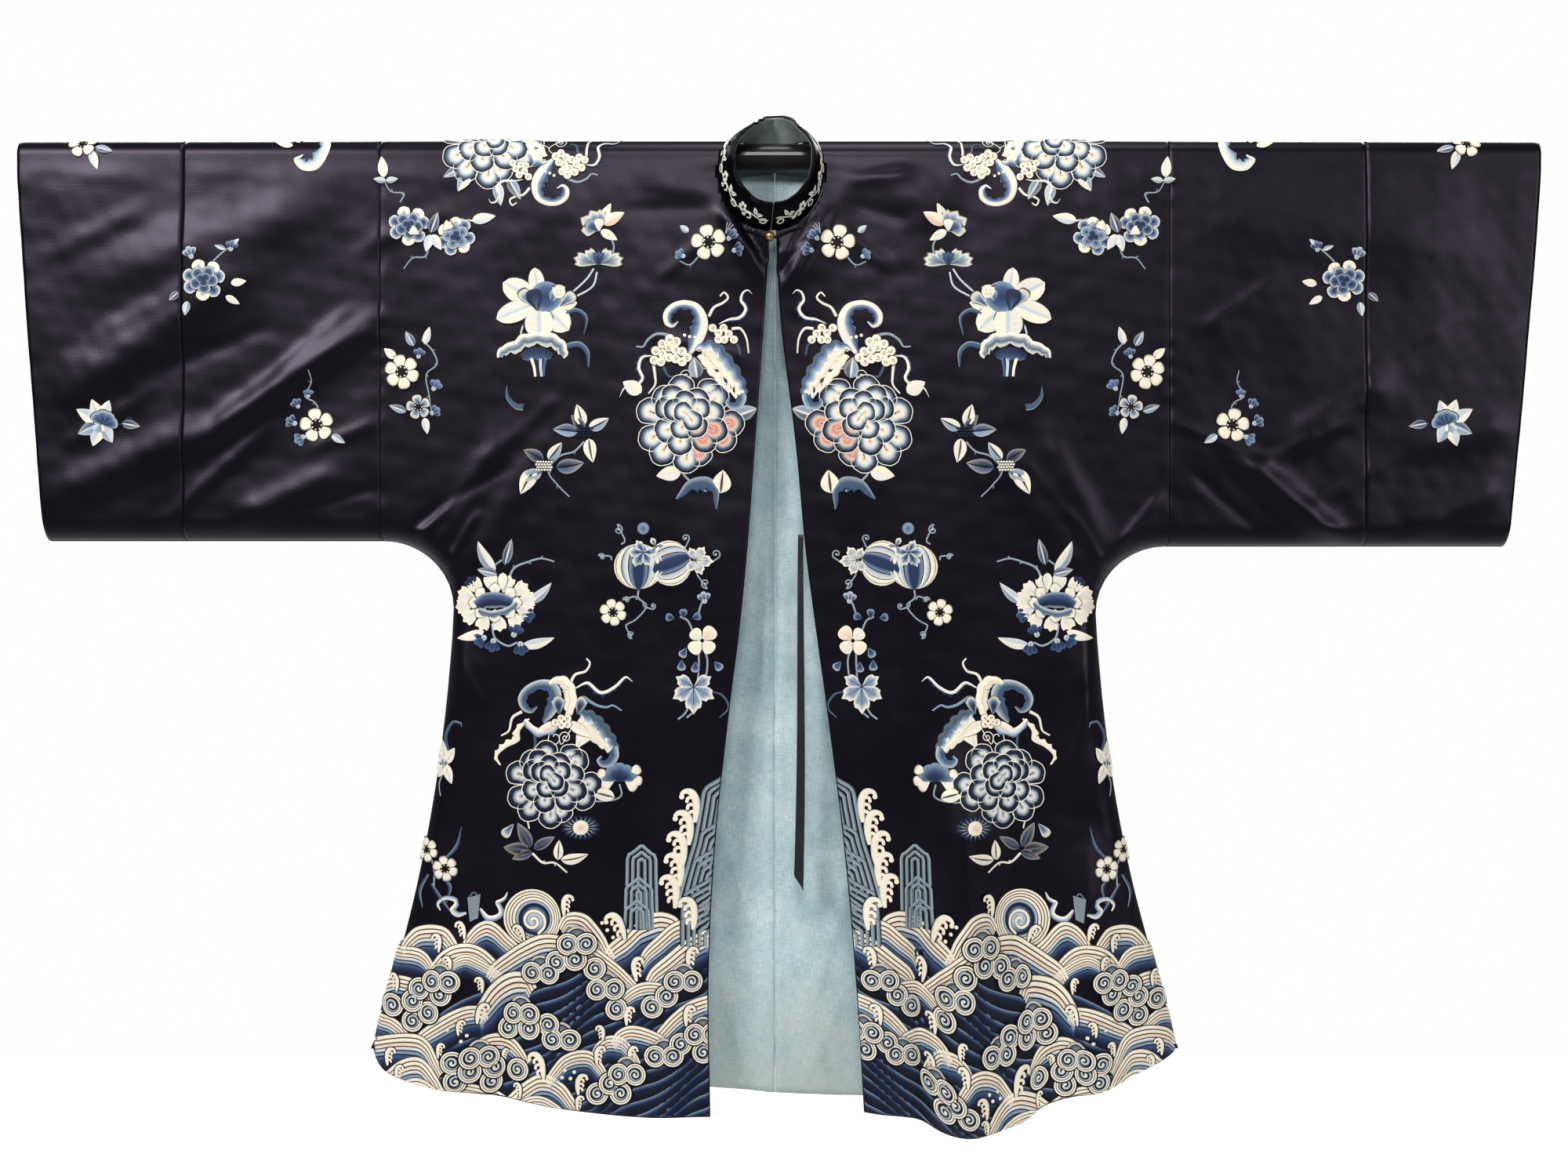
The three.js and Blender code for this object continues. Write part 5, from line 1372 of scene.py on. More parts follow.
def flat_peony(pen):
    """A peony seen from the side: a wide blue cup in cream lobed petals, with leaves above and below."""
    twig(pen, [(16, 28), (24, 44), (42, 52), (58, 56), (74, 52)], 3.0)
    line(pen, [(4, 22), (-2, 44), (8, 54)], 2.2, "mist")
    leaf(pen.at(0, 40, 30), 44, 17, "sky", "ivory", bend=-0.3)
    leaf(pen.at(12, 48, -14), 34, 14, "royal", "blue")
    leaf(pen.at(2, 36, 76), 26, 14, "sky", "blue")
    leaf(pen.at(10, 38, 178), 22, 14, "ivory", "cream", lift=1.2)
    leaf(pen.at(40, 0, -50), 40, 15, "pale", "sky", bend=0.3)
    bud(pen.at(-28, 22, 30), 9, "royal", "navy")
    line(pen, [(-4, -26), (0, -44), (16, -54), (28, -50)], 2.6, "mist")
    leaf(pen.at(-14, -36, 104), 36, 14, "ivory", "cream", bend=-0.2)
    leaf(pen.at(34, -54, -76), 42, 15, "pale", "ivory", bend=0.2)
    for a, b, turn in ((-14, -44, 120), (-2, -48, 170), (24, -40, -20), (32, -52, -170), (36, -14, -100)):
        bud(pen.at(a, b, turn), 10, "royal", "blue")
    for k in range(12):
        turn = 30 * k + 8
        angle = np.radians(turn + 90)
        long = 22 - 5 * np.abs(np.cos(angle)) + 8 * np.abs(np.cos(angle))
        petal(pen.at(26 * np.cos(angle), 13 * np.sin(angle), turn), long, 24,
              [(0, "sky"), (0.3, "pale"), (0.6, "ivory"), (1, "cream")], 0.4 + 0.1 * (k % 2), 3)
    for k in range(8):
        turn = 45 * k
        angle = np.radians(turn + 90)
        petal(pen.at(16 * np.cos(angle), 7 * np.sin(angle), turn), 18, 20,
              [(0, "sky"), (0.6, "ivory"), (0.9, "cream"), (1, "line")], 0.9, 2)
    band(pen, [(-28, 2), (-14, 12), (6, 13), (24, 6)], [16, 20, 20, 14],
         [(0, "mist", 0.1), (0.2, "blue", 0.5), (0.5, "royal", 0.8), (0.8, "navy", 0.5),
          (1, "mist", 0.1)], lift=1.5)
    band(pen, [(-20, -6), (-4, -10), (14, -6), (26, 2)], [9, 10, 10, 7],
         [(0, "pale", 0.2), (0.5, "teal", 0.7), (1, "sky", 0.2)], 4, 0.3, 1.9)


def begonia(pen):
    """A begonia: two buds and four round cream petals on branching stems, over a broad lobed leaf."""
    for path in ([(2, 22), (6, 38), (10, 46)], [(0, 0), (-8, 20), (-18, 26)], [(4, -6), (4, -34), (2, -56)],
                 [(6, -6), (14, -24), (12, -50)], [(-2, -58), (-10, -84), (-20, -94)],
                 [(0, -84), (-10, -92)]):
        line(pen, path, 2.2, "mist")
    bud(pen.at(11, 44, 10), 8, "blue", "pale")
    for a, turn in ((-24, 80), (-14, 0), (-4, -70)):
        petal(pen.at(a, 24, turn), 11, 13, [(0, "navy"), (0.6, "royal"), (1, "sky")], 0.5)
    for a, b, turn in ((-10, -10, 150), (-16, -24, 180), (22, -26, -140), (0, -26, 180)):
        petal(pen.at(a, b, turn), 14, 14, BLUE_PETAL, 0.4)
    for turn, size, tone in ((45, 17, "ivory"), (-45, 20, "peach"), (135, 19, "cream"), (-135, 18, "ivory")):
        petal(pen.at(8, -2, turn), size, size * 1.25, [(0, "pale"), (0.2, tone), (1, "cream")],
              0.8 + 0.001 * turn)
    disc(pen, 8, -2, 2.2, [(0, "ink"), (1, "ink")], 1.7, 0.3)
    melon_leaf(pen.at(-2, -56, 180), 30, "sky", "ivory", 5)
    band(pen, [(12, -62), (30, -66), (38, -80), (28, -92)][::-1], [1, 2.5, 2.5, 1.5], PROFILES["deep"],
         lift=0.2)


def low_butterfly(pen):
    """The lower butterfly: a teal wing behind a cream one, a waved one that trails, a claw and streamers."""
    upper = [(-24, 15), (-31, 8), (-42, 12), (-47, 25), (-40, 38), (-26, 46), (-10, 47), (2, 38), (4, 22),
             (-4, 6), (-16, -4)]
    band(pen, upper, [3, 7, 11, 13, 13, 14, 17, 19, 20, 18, 6], PROFILES["teal_wing"], 8, 0.22, 0.5, 50)
    band(pen, waved([(-12, 44), (2, 51), (14, 46), (21, 32), (19, 12), (10, 1)], 5, 1.6),
         [6, 13, 17, 18, 16, 6], PROFILES["body"], 5, 0.2, 0.8, 40)
    fan = [(0, "ivory"), (0.2, "sky"), (0.3, "navy"), (0.6, "royal"), (0.8, "sky"), (0.92, "ivory"),
           (1, "ink")]
    petal(pen.at(2, 6, 6), 22, 20, fan, 1.3, 5)
    petal(pen.at(23, 6, -16), 22, 17, fan, 0.9, 5)
    lower = [(22, 11), (36, 11), (49, 3), (59, -9), (67, -23), (70, -36)]
    band(pen, waved(lower, 6, 2.6), [16, 29, 32, 30, 22, 12], PROFILES["teal_plume"], 6, 0.12, 0.5, 60)
    hook = [(70, -30), (71, -43), (63, -54), (51, -55), (45, -47), (50, -41)]
    band(pen, hook, [12, 12, 11, 9, 7, 3], PROFILES["hook"], lift=0.6, count=30)
    band(pen, [(-38, 2), (-24, -9), (-8, -6), (2, 2)], [6, 12, 12, 8], PROFILES["curl"], 4, 0.25, 0.7)
    leaf(pen.at(2, -3, 112), 32, 13, "peach", "cream", lift=0.9)
    leaf(pen.at(12, -2, -122), 34, 14, "ivory", "cream", lift=0.9)
    knots(pen, [(-3, -3), (4, 2), (12, 2), (5, -6), (12, -5)], 5.0, 1.3)
    for path, shade in (
        ([(14, 42), (20, 53), (32, 57), (37, 66), (33, 72)], "ivory"),
        ([(-42, 10), (-53, 3), (-57, -12), (-66, -18)], "ivory"),
        ([(30, 27), (44, 18), (56, 15), (64, 17), (74, 11)], "sky"),
        ([(-28, -12), (-27, -30), (-34, -40)], "teal"),
    ):
        line(pen, path, 3.6, shade, 0.35, taper=0.5)
    band(pen, [(20, 38), (35, 45), (50, 34), (65, 40), (78, 51), (87, 45)], [3, 8, 9, 8, 6, 1],
         PROFILES["streamer"], 13, 0.45, 0.35, 48)
    band(pen, [(-33, 1), (-44, -12), (-45, -24), (-60, -32), (-70, -42), (-66, -52)], [3, 9, 11, 9, 6, 2],
         PROFILES["claw"], 10, 0.4, 0.35, 44)
    line(pen, spiral(1.6, 8, 0.5, 1, [(8, 14), (2, 18)]) + np.array([9, -20]), 1.1, "cord", 0.4)
    line(pen, spiral(0.8, 10, 2.6, -1, [(-4, 14)]) + np.array([-4, -20]), 1.1, "cord", 0.4)


def side_peony(pen):
    """A small blue peony with cream petals round its foot, and a leaf on its stem."""
    line(pen, [(0, -12), (2, -26), (-12, -32), (-34, -32)], 2.0, "mist")
    leaf(pen.at(-6, -28, 74), 30, 18, "ivory", "cream", "line")
    for a, b, turn in ((-22, -10, 70), (-12, -16, 120), (14, -16, -130), (22, -14, -100), (22, -4, -60)):
        petal(pen.at(a * 0.4, b * 0.4, turn), 20, 16, CREAM_PETAL, 0.4)
    for turn in (70, 35, 0, -35, -70):
        petal(pen.at(0, -8, turn), 22, 16, [(0, "navy"), (0.6, "teal"), (1, "sky")], 0.7)
    for turn in (30, -5, -40):
        petal(pen.at(0, -10, turn), 16, 14, [(0, "navy"), (0.7, "royal"), (1, "blue")], 1.1)


def daisy(pen):
    """A daisy seen at a slant: many narrow navy petals with pale tips round a cream heart."""
    for k in range(18):
        turn = 20 * k
        angle = np.radians(turn + 90)
        petal(pen.at(8 * np.cos(angle), 4 * np.sin(angle), turn), 14 - 4 * np.abs(np.sin(angle)), 5.5,
              [(0, "ivory"), (0.5, "sky"), (0.75, "navy"), (1, "navy")], 0.4 + 0.1 * (k % 2), steps=(5, 5))
    disc(pen, 0, 0, 8.5, [(0, "peach"), (0.7, "cream"), (1, "ivory")], 0.9, 0.5)


def dark_leaves(pen):
    """The dark leaves and pale sprig at the foot of the lower peony."""
    set_out(pen, [
        (leaf, -2, 2, 28, 36, 18, "navy", "royal", "slate"),
        (leaf, 2, 0, -60, 32, 15, "royal", "navy", "slate"),
        (leaf, -4, -2, 84, 34, 20, "night", "navy", "slate"),
        (leaf, 0, -4, 110, 28, 14, "royal", "night", "slate"),
    ])
    twig(pen, [(0, -6), (14, -18), (30, -18), (46, -30)], 3.2, "ivory")
    leaf(pen.at(34, -14, -4), 26, 15, "cream", "ivory", "line")
    leaf(pen.at(38, -14, -78), 36, 16, "cream", "ivory", "line", bend=0.2)
    line(pen, [(-4, 26), (-8, 44), (-10, 56)], 2.0, "ivory")
    line(pen, [(22, 30), (22, 44)], 2.0, "pale")


def side_magnolia(pen):
    """A small magnolia at the coat's side, under a thin curved blade."""
    band(pen, [(2, 16), (-2, 34), (8, 52), (20, 52), (22, 46)], [4, 5, 4, 3, 1], PROFILES["deep"], lift=0.2)
    for turn, long in ((10, 30), (48, 24), (-32, 24), (95, 22), (-160, 26), (150, 20)):
        leaf(pen.at(0, 0, turn), long, 14, "cream", "ivory", "pale", lift=0.35)
    bud(pen.at(-2, -4, 10), 7, "slate", "pale")
    line(pen, [(0, -6), (-8, -24), (-6, -40)], 2.0, "mist", taper=0.3)


def narcissus(pen):
    """Two narcissus flowers among blade leaves."""
    for path in ([(8, -4), (26, 16), (34, 40)], [(-6, -20), (-16, -40), (-14, -60)],
                 [(10, -20), (22, -34), (16, -54)], [(-2, -30), (12, -50), (22, -66)]):
        band(pen, path, [3, 5, 1], PROFILES["blade"], lift=0.2, count=12)
    line(pen, [(-6, 8), (0, -14), (0, -34)], 2.0, "mist")
    stops = [(0, "pale"), (0.5, "cream"), (0.86, "ivory"), (0.92, "ink"), (1, "ink")]
    blossom(pen.at(-10, 10), 16, stops, 6)
    blossom(pen.at(14, -12), 17, stops, 6)


def tied_scroll(pen):
    """A roll of silver thread with a ribbon that blows out to both sides."""
    for b in np.linspace(-13, 13, 15):
        line(pen, [(-6 - 0.1 * b, b - 2), (6 + 0.1 * b, b + 2)], 1.4, "mist", 0.5)
    for path in ([(-8, -7), (-20, -11), (-29, -3), (-23, 6), (-33, 9), (-41, 4), (-39, -3)],
                 [(8, 0), (18, -9), (29, -5), (25, 7), (34, 12), (39, 19)]):
        band(pen, path, [3, 7, 7, 6, 5, 4, 1.5], PROFILES["curl"], lift=0.3)
    line(pen, [(-6, 12), (0, 18), (6, 12)], 2.0, "slate", 0.4)


def couched_peony(pen):
    """The large peony of pale petals, some blushed, on its leaves."""
    for a, b, turn in ((-52, 34, 60), (54, 8, -70), (10, 50, 10)):
        leaf(pen.at(a, b, turn), 24, 19, *(("ivory", "cream") if a < 0 else ("sky", "teal")), teeth=0.5)
    peony_leaves(pen.at(0, -50))
    peony(pen, 60, blush=True)


def low_peony(pen):
    """The lower peony, with darker bands to its petals."""
    petal(pen.at(26, 38, -30), 30, 26, CREAM_PETAL, 0.3, 3)
    petal(pen.at(-42, -44, 140), 20, 14, SKY_PETAL, 0.3)
    peony(pen, 53, DEEP_COUCHED)


def shoulder_peony(pen):
    """The peony that lies over the shoulder fold, with leaves that hang below it."""
    set_out(pen, [
        (leaf, -24, -34, 150, 28, 18, "ivory", "sky"), (leaf, -34, -30, 120, 24, 13, "sky", "blue"),
        (leaf, 8, -48, 190, 28, 15, "pale", "sky"), (leaf, 22, -44, -150, 28, 15, "sky", "slate"),
    ])
    peony(pen, 60)


# The flowers and butterflies: the same set on both sides, mirrored over the centre line, and again on the
# back. Those on the shoulders lie half on the front and half on the back. Rows give each one's middle, turn
# and size.
MOTIFS = [
    # makers of the motif, out, drop, turn, size
    (plum, 773, -13, 0, 1.05), (hooked_wing, 522, -4, 0, 1.0), (shoulder_peony, 317, -14, 0, 0.95),
    (butterfly, 249, 6, 168, 0.72), (double_rose, 383, 88, 0, 1.0), (rose_sprig, 634, 141, 0, 1.0),
    (plum_branch, 410, 236, 0, 0.85), (magnolia, 750, 300, 0, 1.05), (plum_sprig, 510, 302, 0, 0.95),
    (lotus, 262, 163, 0, 0.92), (lotus_bud, 199, 80, 0, 0.9), (lotus_leaf, 196, 120, 0, 1.0),
    (umbrella_leaf, 264, 224, 0, 1.15), (blades, 236, 176, 0, 1.0), (neck_blossom, 73, 99, 0, 0.95),
    (butterfly, 92, 222, 0, 0.82), (couched_peony, 96, 300, 0, 1.0), (berry_sprig, 212, 310, 0, 0.9),
    (melons, 146, 456, 0, 0.88), (flat_peony, 310, 500, 0, 0.88), (begonia, 88, 540, 0, 0.95),
    (low_butterfly, 240, 630, 0, 0.95), (low_peony, 246, 700, 0, 1.0), (side_peony, 172, 690, 0, 0.92),
    (daisy, 214, 748, 0, 1.0), (dark_leaves, 268, 772, 0, 0.85), (side_magnolia, 366, 679, 0, 0.9),
    (narcissus, 378, 784, 0, 0.9), (tied_scroll, 333, 838, 0, 0.95),
]


def fitted(side, face, out, drop):
    """A place of the right front's drawing carried to another panel, so that it keeps to that panel's edge
    and hem."""
    edge = curve(FRONT_EDGE[RIGHT], drop)
    own = curve(FRONT_EDGE[side], drop) if face == "front" else 0 * drop
    share = np.clip(1 - (out - edge) / (430 - edge), 0, 1)
    moved = out + (own - edge) * share
    hem = (FRONT_HEM if face == "front" else BACK_HEM)[side]
    lower = curve(hem, moved) - curve(REFERENCE_HEM, out)
    dropped = drop + lower * smooth(820, 1060, drop)
    return np.maximum(moved, own + 1.2), np.minimum(dropped, curve(hem, moved) - 1.5)


def lay_on_cloth(name, work, side, face, material):
    """Carries the stitched patches to the cloth: each point stands off it, along its normal, by its own
    height."""
    out, drop = np.concatenate(work.out), np.concatenate(work.drop)
    height = np.concatenate(work.height)
    out, drop = fitted(side, face, out, drop)
    flank = np.where(drop > SIDE_EDGE[0][0], curve(SIDE_EDGE, drop), FAR_OUT) - 0.6
    x, way = side * np.minimum(out, flank), drop + ARC
    other = "back" if face == "front" else "front"
    over = way < 0
    point, normal = np.empty((len(x), 3)), np.empty((len(x), 3))
    for which, on in ((face, ~over), (other, over)):
        if on.any():
            point[on] = cloth(which, x[on], np.abs(way[on]))
            normal[on] = cloth_normal(which, x[on], np.abs(way[on]))
    point += normal * height[:, None]
    quads = np.concatenate(work.quads)
    corner = point[quads]
    facing = np.cross(corner[:, 2] - corner[:, 0], corner[:, 3] - corner[:, 1])
    inward = (facing * normal[quads[:, 0]]).sum(-1) < 0
    quads[inward] = quads[inward, ::-1]
    colour = np.hstack([np.concatenate(work.colour), np.ones((len(x), 1))])
    return build_mesh(name, point, quads, [material], None, np.concatenate(work.thread) * MM, colour)


floss, nodes, links, surface = shader(
    "silk_floss", Roughness=0.45, Sheen_Weight=0.05, Sheen_Roughness=0.4, Specular_IOR_Level=0.2)
shade = add_node(nodes, "ShaderNodeAttribute", attribute_name="floss")
where = add_node(nodes, "ShaderNodeUVMap", uv_map="cut")
stitch_way = add_node(nodes, "ShaderNodeMapping", Scale=(2200, 160, 1))
stitches = add_node(nodes, "ShaderNodeTexNoise", Scale=1.0, Detail=2.0)
toned = add_node(nodes, "ShaderNodeMapRange", From_Min=0.3, From_Max=0.7, To_Min=0.78, To_Max=1.08)
mixed = add_node(nodes, "ShaderNodeVectorMath", operation="SCALE")
relief = add_node(nodes, "ShaderNodeBump", Strength=0.5, Distance=0.0004)
wire(links, [
    (where, "UV", stitch_way, "Vector"), (stitch_way, "Vector", stitches, "Vector"),
    (stitches, "Fac", toned, "Value"), (shade, "Color", mixed, "Vector"), (toned, "Result", mixed, "Scale"),
    (mixed, "Vector", surface, "Base Color"), (stitches, "Fac", relief, "Height"),
    (relief, "Normal", surface, "Normal"),
])

for face in ("front", "back"):
    for side, word in ((RIGHT, "right"), (LEFT, "left")):
        work = Work()
        for maker, out, drop, turn, size in MOTIFS:
            if face == "back" and drop < 20:
                continue
            maker(Pen(work, out, drop, turn, size, 0.25))
        flowers = lay_on_cloth(f"flowers_{face}_{word}", work, side, face, floss)

# The collar's vine, couched in off-white cord on the black satin, from one end of the collar round to the
# other. It is a stem that sways, with rings, paired leaves, hooks and small flowers by turns.
VINE = {"round": 62.0, "tall": 35.0, "middle": 16.5, "step": 10.4, "ends": 13}


def collar_vine(pen):
    """The vine, with a along the collar and b up it: b sways by 2.4 sin(a / 6.5) about its middle line."""
    for side in (-1, 1):
        a = side * np.linspace(5, VINE["step"] * VINE["ends"], 90)
        line(pen, np.stack([a, VINE["middle"] + 2.4 * np.sin(a / 6.5)], -1), 1.3, "cord", 0.2, count=180,
             rise=0.4)
        for k in range(1, VINE["ends"]):
            a = side * (VINE["step"] * k + 1.5 * np.sin(3 * k))
            spot = pen.at(a, VINE["middle"] + 3.2 * (-1) ** k, 25 * np.sin(2.1 * k), 1.25)
            if k % 4 == 0:
                blossom(spot, 4.6, [(0, "sky"), (0.5, "ivory"), (1, "cord")])
            elif k % 4 == 1:
                ring = np.linspace(0, 2 * np.pi, 13)
                line(spot, np.stack([3.1 * np.cos(ring), 2.5 * np.sin(ring)], -1), 1.3, "cord", 0.3,
                     count=26)
            elif k % 4 == 2:
                leaf(spot.at(0, 0, 50), 7.5, 4.6, "cord", "cord", "ink")
                leaf(spot.at(0, 0, -60), 7.0, 4.4, "pale", "cord", "ink")
            else:
                line(spot, [(-4, -2), (-1, 3), (3, 3), (4, -1), (1, -2)], 1.5, "cord", 0.3)
                leaf(spot.at(-1, 0, 100), 5.5, 3.6, "cord", "cord", "ink")


work = Work()
collar_vine(Pen(work, 0, 0, lift=0.2))
along = -np.concatenate(work.out) / VINE["round"]
up = -np.concatenate(work.drop) / VINE["tall"]
placed = collar_face(along, up, -np.concatenate(work.height))
shade = np.hstack([np.concatenate(work.colour), np.ones((len(placed), 1))])
thread = np.concatenate(work.thread) * MM
vine = build_mesh("collar_vine", placed, np.concatenate(work.quads), [floss], None, thread, shade)

# The border of waves above the hem, and the rocks at the front edges: long satin stitches in shaded rows,
# with a thin dark line between the rows. It is drawn in millimetres in from the side and down from the
# highest wave.
SEA = {"out": 488.0, "drop": 770.0, "tier": 0.19, "reach": 2.1, "crests": 1.75, "clouds": 1.95}
PROFILES["billow"] = [
    (0, "line", 0.0), (0.02, "line", 0.04), (0.035, "cream", 0.1), (0.115, "cream", 0.16),
    (0.125, "line", 0.02), (0.15, "line", 0.02), (0.16, "cream", 0.12), (0.235, "cream", 0.16),
    (0.245, "line", 0.02), (0.27, "line", 0.02), (0.28, "peach", 0.12), (0.35, "cream", 0.14),
    (0.36, "line", 0.02), (0.385, "line", 0.02), (0.395, "ivory", 0.12), (0.46, "pale", 0.14),
    (0.47, "ink", 0.04), (0.495, "ink", 0.04), (0.505, "sky", 0.12), (0.57, "sky", 0.14),
    (0.58, "night", 0.03), (0.61, "night", 0.03), (0.62, "blue", 0.1), (0.74, "royal", 0.1),
    (0.86, "navy", 0.06), (1, "night", 0.0),
]
PROFILES["stripe"] = [(0, "ink", 0.0), (0.06, "sky", 0.12), (0.14, "blue", 0.2), (0.35, "navy", 0.3),
                      (0.8, "night", 0.22), (1, "ink", 0.0)]
PROFILES["rock"] = [(-0.5, "ink", 0.0), (-0.38, "ink", 0.05), (-0.3, "mist", 0.25), (-0.05, "mist", 0.36),
                    (0.3, "slate", 0.25), (0.38, "ink", 0.05), (0.5, "ink", 0.0)]
PROFILES["foam"] = [(-0.5, "peach", 0.05), (-0.3, "cream", 0.35), (0.15, "cream", 0.4), (0.36, "ivory", 0.3),
                    (0.5, "mist", 0.05)]
PROFILES["under"] = [(-0.5, "ink", 0.0), (0.5, "ink", 0.0)]
CURL = [(0, "cream"), (0.1, "ivory"), (0.3, "pale"), (0.54, "mist"), (0.57, "ink"), (0.61, "ink"),
        (0.63, "ivory"), (0.74, "cream"), (0.76, "ink"), (0.8, "ink"), (0.82, "ivory"), (0.94, "cream"),
        (0.96, "ink"), (1.07, "ink")]
ROLL = [(0, "sky"), (0.2, "pale"), (0.34, "sky"), (0.44, "royal"), (0.5, "navy"), (0.53, "ink"),
        (0.56, "sky"), (0.61, "pale"), (0.62, "line"), (0.64, "line"), (0.65, "ivory"), (0.72, "cream"),
        (0.73, "line"), (0.75, "line"), (0.76, "cream"), (0.81, "cream"), (0.82, "line"), (0.84, "line"),
        (0.85, "cream"), (0.9, "cream"), (0.91, "line"), (0.93, "line"), (0.94, "cream"), (0.99, "cream"),
        (1, "line")]
BILLOWS = [
    # tier, depth, and the crest from the side towards the front edge, as (in, down) places
    (1, 18, [(77, 102), (89, 90), (105, 86), (123, 89), (134, 100)]),
    (1, 17, [(148, 96), (157, 86), (170, 81), (182, 86), (195, 100), (210, 114)]),
    (1, 18, [(255, 74), (267, 70), (281, 74), (292, 86), (301, 99), (305, 108)]),
    (1, 22, [(304, 108), (319, 95), (334, 80), (352, 72), (366, 71), (380, 77)]),
    (2, 18, [(344, 112), (359, 97), (374, 84), (390, 79), (406, 81), (417, 89)]),
    (2, 15, [(46, 117), (77, 112), (92, 112), (103, 118), (110, 127)]),
    (2, 17, [(108, 130), (118, 117), (133, 108), (151, 106), (168, 114), (183, 130)]),
    (3, 20, [(352, 133), (369, 118), (387, 103), (402, 95), (417, 91)]),
    (3, 20, [(174, 130), (189, 118), (207, 106), (225, 97), (242, 95), (256, 99)]),
    (3, 15, [(254, 106), (272, 105), (291, 111), (307, 123), (322, 136), (337, 152)]),
    (3, 11, [(133, 124), (148, 118), (165, 126), (183, 139)]),
    (3, 14, [(34, 192), (59, 189), (72, 195), (81, 205)]),
    (3, 16, [(40, 160), (60, 146), (80, 144), (98, 152), (112, 166)]),
    (4, 24, [(160, 171), (171, 154), (186, 142), (204, 138), (219, 142)]),
    (4, 14, [(321, 162), (334, 152), (349, 148), (366, 151)]),
    (4, 17, [(359, 201), (375, 183), (393, 170), (408, 165), (417, 164)]),
    (4, 17, [(95, 205), (112, 192), (130, 180), (148, 174), (165, 177)]),
    (5, 18, [(30, 222), (53, 211), (74, 207), (95, 208), (109, 217), (118, 233)]),
    (5, 15, [(313, 204), (328, 197), (346, 199), (366, 208)]),
    (5, 17, [(150, 220), (168, 208), (186, 207), (201, 214), (211, 225)]),
    (5, 14, [(291, 216), (304, 208), (322, 211), (334, 225)]),
    (6, 18, [(56, 251), (71, 238), (89, 232), (103, 236), (117, 251)]),
    (6, 15, [(241, 245), (254, 229), (272, 222), (288, 226), (298, 239)]),
    (6, 18, [(189, 281), (207, 263), (225, 251), (242, 251), (257, 261), (267, 276)]),
    (6, 14, [(112, 268), (139, 258), (165, 264), (189, 276)]),
    (7, 15, [(60, 268), (86, 256), (103, 257), (118, 267)]),
    (7, 12, [(204, 284), (219, 275), (236, 276), (254, 288)]),
]
CLOUDS = [
    # each cloud's curls from its tail to its head: (in, down, 1 where the curl is a double one)
    [(313, 179, 0), (301, 157, 1), (289, 134, 0), (230, 139, 1), (248, 126, 0), (268, 123, 0),
     (270, 106, 1)],
    [(87, 193, 0), (64, 177, 0), (106, 183, 0), (87, 171, 0), (120, 162, 0), (95, 157, 0), (120, 148, 1)],
    [(253, 211, 1), (239, 195, 0), (193, 201, 0), (217, 201, 0), (208, 185, 1)],
    [(136, 257, 0), (133, 236, 0), (174, 260, 0), (151, 247, 0), (204, 247, 0), (177, 244, 0),
     (161, 232, 1)],
    [(353, 176, 0), (369, 164, 0), (387, 148, 1)],
    [(409, 227, 0), (366, 230, 1), (384, 217, 0), (409, 207, 1)],
    [(292, 272, 0), (318, 272, 0), (306, 261, 0), (325, 251, 1)],
]
CRESTS = [
    # in, down, height, turn, 1 where it curls towards the side
    (260, 59, 21, 0, -1), (140, 89, 18, 10, 1), (114, 103, 18, 0, 1), (204, 92, 18, 20, 1),
    (310, 83, 30, 20, 1), (165, 180, 21, -10, -1), (161, 149, 16, 0, 1), (337, 130, 24, 10, -1),
    (397, 118, 22, 0, -1), (394, 182, 21, 0, -1), (225, 236, 28, 10, 1), (295, 202, 16, 0, 1),
    (295, 226, 19, 0, -1), (62, 230, 18, 0, -1), (72, 248, 16, 0, -1), (328, 183, 19, 0, -1),
    (332, 226, 18, 0, -1), (275, 257, 21, 0, -1), (204, 267, 15, 0, 1), (273, 279, 15, 0, -1),
    (66, 149, 17, 0, 1), (127, 126, 16, 0, 1), (142, 195, 15, 0, -1), (121, 220, 15, 0, -1),
    (189, 229, 13, 0, -1),
]
FOAM = [(297, 84), (303, 92), (148, 207), (142, 213), (257, 245), (267, 247), (263, 254), (254, 253),
        (309, 100), (128, 200), (214, 240), (196, 240)]
# The rock that climbs each front edge: rows of (in, down) along the middle of its outermost ridge, where
# each of its tiers starts, and the crests that break on it, as (in, down, height)
ROCK_RIDGE = [(438, -80), (424, -72), (411, -63), (407, -45), (403, -22), (399, -3), (393, 17), (384, 50),
              (380, 66)]
ROCK_TIERS = (-77, -35, -8, 23, 50)
ROCK_CRESTS = [(394, -52, 37), (387, -28, 38), (380, -5, 38), (377, 18, 37), (372, 42, 37), (392, 67, 36)]


def swirl(pen, a, b, radius, hand, lift):
    """A curl of cloud: a round of rows, pale in the middle, and the dark thread that winds out to the
    rows."""
    disc(pen, a, b, radius, CURL, lift, 0.3, 20, 15)
    wound = spiral(1.6, radius * 0.6, -0.9, hand)
    line(pen.at(a, b), wound, 0.15 * radius, "ink", lift + 0.3, count=34, rise=0.12)


def cloud(pen, curls, base):
    """A cloud of curls, laid from its tail to its head. A double curl is two that face one another under a
    third."""
    for k, (a, down, double) in enumerate(curls):
        lift = base + 0.1 * k
        if double:
            disc(pen, a, 7 - down, 13, [(0, "mist"), (0.7, "slate"), (0.76, "ink"), (0.8, "ivory"),
                                        (0.94, "cream"), (0.96, "ink"), (1, "ink")], lift, 0.06, 20, 7)
            swirl(pen, a - 9.5, -down, 12.5, -1, lift + 0.1)
            swirl(pen, a + 9.5, -down, 12.5, 1, lift + 0.14)
        else:
            swirl(pen, a, -down, 13, 1 if k % 2 else -1, lift)


